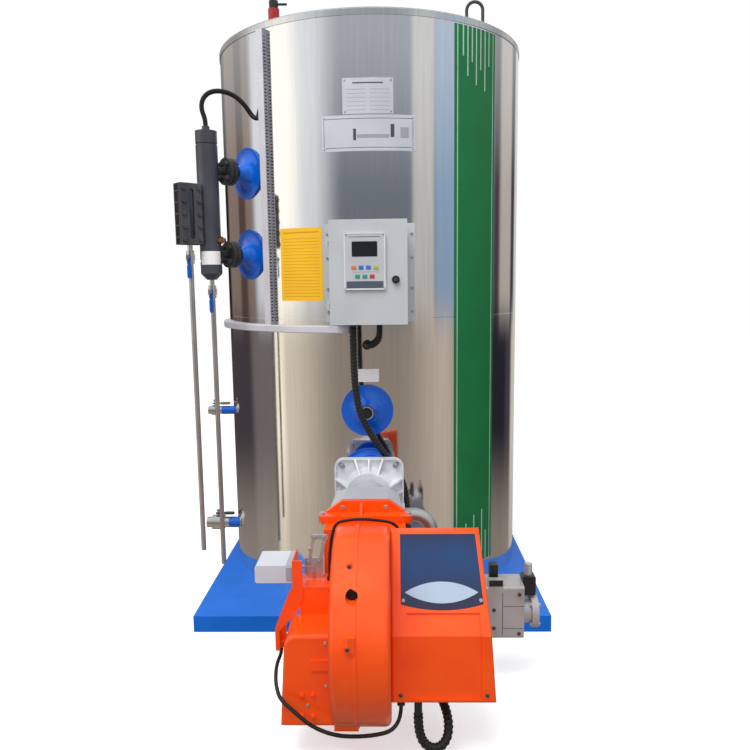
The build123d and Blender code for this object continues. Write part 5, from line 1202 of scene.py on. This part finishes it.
@dataclass
class Frame:
    """Finishes of the carried-over nodes; those of the base, which aren't listed, are painted blue."""

    nodes: dict[str, bpy.types.Object]
    finishes: dict[str, Finish] = field(default_factory=lambda: {
        "lower_jacket": JACKET, "upper_jacket": JACKET, "roof_cover": ROOF_STEEL, "flue_collar": ROOF_STEEL,
        "steam_outlet": ROOF_STEEL, "safety_valve": RED_ENAMEL, "safety_valve_cap": BLACK_PLASTIC,
        "lifting_loops": DARK_STEEL, "cable_belt": DUCT_GREY, "wire_duct": DUCT_SIDE_PAINTED_SHADE, "wire_duct_cover": DUCT_GREY,
        "nozzle_flanges": FLANGE_BLACK, "level_column": COLUMN_GREY, "sight_gauge": GAUGE_IRON,
        "drain_valves": NICKEL, "drain_pipes": PIPE_STEEL, "column_drain_lever": LEVER_BLUE,
        "gauge_drain_lever": LEVER_BLUE, "side_nipples": DISH_BLUE, "feed_valve": NICKEL, "feed_lever": LEVER_TAN,
        "blowdown_valve": NICKEL, "blowdown_lever": LEVER_DARK, "box_back_plate": BOX_GREY, "control_box": BOX_GREY,
        "control_box_door": BOX_GREY, "control_panel": PANEL_SILVER, "door_lock": BLACK_PLASTIC,
        "sight_port_tube": DARK_STEEL, "burner_neck": DISH_BLUE, "burner_flange": CAST_ALUMINIUM,
        "burner_head": HEAD_GREY, "burner_yoke": BURNER_ORANGE, "fan_volute": BURNER_ORANGE,
        "air_intake_box": BURNER_ORANGE, "servo_bracket": BURNER_ORANGE, "servo_motor": SERVO_WHITE,
        "damper_linkage": LINK_STEEL, "panel_cover": BURNER_ORANGE, "panel_window": WINDOW_SMOKED,
        "gas_valve": VALVE_ALUMINIUM, "gas_valve_plugs": BLACK_PLASTIC, "gas_pipe": PIPE_STEEL,
        "box_glands": BLACK_PLASTIC, "panel_glands": BLACK_PLASTIC, "panel_buttons": KEY_BLUE,
        "column_cable": CABLE_BLACK, "burner_conduit": CABLE_BLACK, "motor_cable": CABLE_BLACK,
        "servo_cable": CABLE_BLACK, "box_conduit_loop": CABLE_BLACK, "nozzle_cones": NOZZLE_BLUE,
        "sight_port_cone": PORT_BLUE,
    })

    def dress(self, effects: Effects) -> None:
        """Give every node its finish."""
        for name, node in self.nodes.items():
            material = self.finishes.get(name, BASE_BLUE).material(effects)
            node.data.materials.clear()
            node.data.materials.append(material)
            log.info("%s: %s", name, material.name)


@dataclass(frozen=True)
class StudioPanel:
    """Upright panel of the studio: its bearings from the front, in degrees, its fades and its light."""

    start: float
    end: float
    rise: float
    fall: float
    light: Color


@dataclass
class Studio:
    """Floor, camera, panels and lights.

    A fade is the range of a direction's slope and the range of shares or gains that it goes over to.
    """

    camera_place: Point = (0.0970, -3.6960, 1.4616)
    yaw: float = -0.0242
    pitch: float = 0.1319
    roll: float = -0.0128
    lens: float = 34.128
    floor_half: float = 14.0
    upper_wall: Color = (0.16, 0.18, 0.22)
    upper_panels: Sequence[StudioPanel] = (
        StudioPanel(-170, -98, 10, 8, (0.24, 0.18, 0.15)), StudioPanel(-172, -146, 4, 8, (0.01, 0.01, 0.01)),
        StudioPanel(-121, -110, 4, 4, (0.10, 0.06, 0.05)), StudioPanel(-98, -31, 8, 26, (0.72, 0.74, 0.78)),
        StudioPanel(-80, -55, 12, 20, (1.24, 1.20, 1.10)), StudioPanel(32, 49, 4, 4, (0.54, 0.53, 0.51)),
        StudioPanel(50, 76, 3, 10, (0.27, 0.38, 0.55)), StudioPanel(76, 96, 10, 16, (0.42, 0.42, 0.43)),
        StudioPanel(108, 148, 6, 4, (0.06, 0.05, 0.05)), StudioPanel(117, 139, 6, 4, (0.48, 0.44, 0.41)),
        StudioPanel(150, 172, 6, 10, (0.66, 0.64, 0.62)))
    lower_wall: Color = (0.06, 0.05, 0.06)
    lower_panels: Sequence[StudioPanel] = (
        StudioPanel(-81, 80, 3, 30, (0.30, 0.25, 0.21)), StudioPanel(-81, -45, 3, 46, (0.74, 0.65, 0.53)),
        StudioPanel(-80, -71, 3, 6, (1.18, 1.06, 0.88)), StudioPanel(38, 66, 40, 16, (0.56, 0.47, 0.40)),
        StudioPanel(-108, -82, 10, 3, (0.17, 0.15, 0.15)), StudioPanel(106, 130, 6, 6, (0.02, 0.02, 0.03)),
        StudioPanel(144, 168, 8, 8, (0.62, 0.58, 0.54)))
    row_fade: Quad = (-0.09, -0.01, 0.0, 1.0)
    row_gain: Quad = (0.0, 0.26, 0.94, 1.16)
    ground_fade: Quad = (-0.20, -0.36, 0.0, 0.55)
    ground_light: Color = (0.46, 0.39, 0.33)
    haze_fade: Quad = (0.14, 0.30, 0.0, 0.16)
    haze_light: Color = (0.86, 0.92, 1.0)
    ceiling_fade: Quad = (0.12, 0.75, 0.0, 0.8)
    ceiling_light: Color = (0.80, 0.84, 0.88)
    sky_fade: Quad = (-0.35, 0.8, 0.0, 1.0)
    sky_low: Color = (0.24, 0.24, 0.25)
    sky_high: Color = (0.92, 0.95, 1.0)
    sky_strength: float = 0.80
    backdrop: Color = (1.0, 1.0, 1.0)

    def build(self, effects: Effects) -> None:
        """Set up the stage round the object."""
        self.floor(effects)
        self.camera()
        self.world()
        self.softbox("key_light", (-1.2, -3.0, 5.4), (0, -1.0, 0.6), 3.2, 215.0)
        self.softbox("fill_light", (0.8, -6.2, 1.7), (0, -0.8, 0.8), 3.0, 62.0)
        bpy.context.scene.view_settings.view_transform = "Standard"

    def floor(self, effects: Effects) -> None:
        """Plain pale floor that the polished jacket doesn't mirror."""
        form = bmesh.new()
        bmesh.ops.create_grid(form, x_segments=2, y_segments=2, size=self.floor_half)
        mesh = bpy.data.meshes.new("floor")
        form.to_mesh(mesh)
        form.free()
        mesh.materials.append(STAGE_WHITE.material(effects))
        floor = bpy.data.objects.new("floor", mesh)
        bpy.context.scene.collection.objects.link(floor)
        floor.visible_glossy = False
        floor.visible_diffuse = False

    def camera(self) -> None:
        """Camera at the photograph's place and angle."""
        level = Vector((math.sin(self.yaw), math.cos(self.yaw), 0.0))
        ahead = level * math.cos(self.pitch) - upward(math.sin(self.pitch))
        right = Vector((math.cos(self.yaw), -math.sin(self.yaw), 0.0))
        up = right.cross(ahead)
        across = right * math.cos(self.roll) + up * math.sin(self.roll)
        upright = up * math.cos(self.roll) - right * math.sin(self.roll)
        camera = bpy.data.objects.new("camera", bpy.data.cameras.new("camera"))
        camera.data.lens = self.lens
        aim = Matrix((across, upright, -ahead)).transposed().to_4x4()
        camera.matrix_world = Matrix.Translation(self.camera_place) @ aim
        bpy.context.scene.collection.objects.link(camera)
        bpy.context.scene.camera = camera

    @staticmethod
    def panel_row(tree: NodeTree, bearing: bpy.types.NodeSocket, wall: Color,
                  panels: Iterable[StudioPanel]) -> bpy.types.NodeSocket:
        """Light of a wall and the panels on it, by bearing.

        Args:
            tree: Node tree of the surround.
            bearing: Bearing from the front, in degrees.
            wall: Light of the bare wall.
            panels: Panels on the wall, later ones over earlier ones.

        Returns:
            Colour socket of the row.
        """
        light: object = linear(wall)
        for panel in panels:
            rise, fall = panel.rise / 2, panel.fall / 2
            shown = tree.remap(bearing, panel.start - rise, panel.start + rise, 0.0, 1.0, smooth=True)
            kept = tree.remap(bearing, panel.end - fall, panel.end + fall, 1.0, 0.0, smooth=True)
            light = tree.mix(tree.math("MULTIPLY", shown, kept), light, linear(panel.light))
        return light

    def world(self) -> None:
        """White surround that lights from above, with upright panels for polished metal to mirror."""
        world = bpy.data.worlds.new("studio")
        bpy.context.scene.world = world
        world.use_nodes = True
        tree = NodeTree(world.node_tree)
        way = tree.add("SeparateXYZ", {0: tree.add("TexCoord").outputs["Generated"]})
        ahead = tree.math("MULTIPLY", way.outputs[1], -1.0)
        bearing = tree.math("DEGREES", tree.math("ARCTAN2", way.outputs[0], ahead))
        slope = way.outputs[2]
        low_row = self.panel_row(tree, bearing, self.lower_wall, self.lower_panels)
        low_row = tree.mix(tree.remap(slope, *self.ground_fade, smooth=True), low_row, linear(self.ground_light))
        high_row = self.panel_row(tree, bearing, self.upper_wall, self.upper_panels)
        panels = tree.mix(tree.remap(slope, *self.row_fade, smooth=True), low_row, high_row)
        gain = tree.remap(slope, *self.row_gain)
        panels = tree.add("VectorMath", {0: panels, "Scale": gain}, operation="SCALE").outputs[0]
        panels = tree.mix(tree.remap(slope, *self.haze_fade), panels, linear(self.haze_light))
        mirrored = tree.mix(tree.remap(slope, *self.ceiling_fade), panels, linear(self.ceiling_light))
        sky = tree.mix(tree.remap(slope, *self.sky_fade), linear(self.sky_low), linear(self.sky_high))
        rays = tree.add("LightPath").outputs
        mirror, surround, soft = (tree.add("Background", {"Color": color, "Strength": strength}).outputs[0]
                                  for color, strength in ((mirrored, 1.0), (linear(self.backdrop), 1.0),
                                                          (sky, self.sky_strength)))
        shown = tree.add("MixShader", {0: rays["Is Camera Ray"], 1: soft, 2: surround})
        both = tree.add("MixShader", {0: rays["Is Glossy Ray"], 1: shown.outputs[0], 2: mirror})
        tree.add("OutputWorld", {0: both.outputs[0]})

    @staticmethod
    def softbox(name: str, place: Point, target: Point, size: float, power: float) -> None:
        """Large square light aimed at a point."""
        light = bpy.data.lights.new(name, "AREA")
        light.size, light.energy = size, power
        lamp = bpy.data.objects.new(name, light)
        aim = (Vector(target) - Vector(place)).to_track_quat("-Z", "Y")
        lamp.matrix_world = Matrix.Translation(place) @ aim.to_matrix().to_4x4()
        lamp.visible_glossy = False
        bpy.context.scene.collection.objects.link(lamp)


def main() -> None:
    """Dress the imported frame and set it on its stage."""
    logging.basicConfig(level=logging.INFO, format="%(message)s")
    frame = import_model()
    effects = Effects()
    Studio().build(effects)
    Cabling().build(effects)
    Frame(frame["nodes"]).dress(effects)
    JacketFilms().build(effects)
    LevelColumn().build(effects)
    ControlBox().build(effects)
    Burner(Seat(frame["nodes"])).build(effects)
    bpy.context.view_layer.update()


if __name__ == "__main__":
    main()
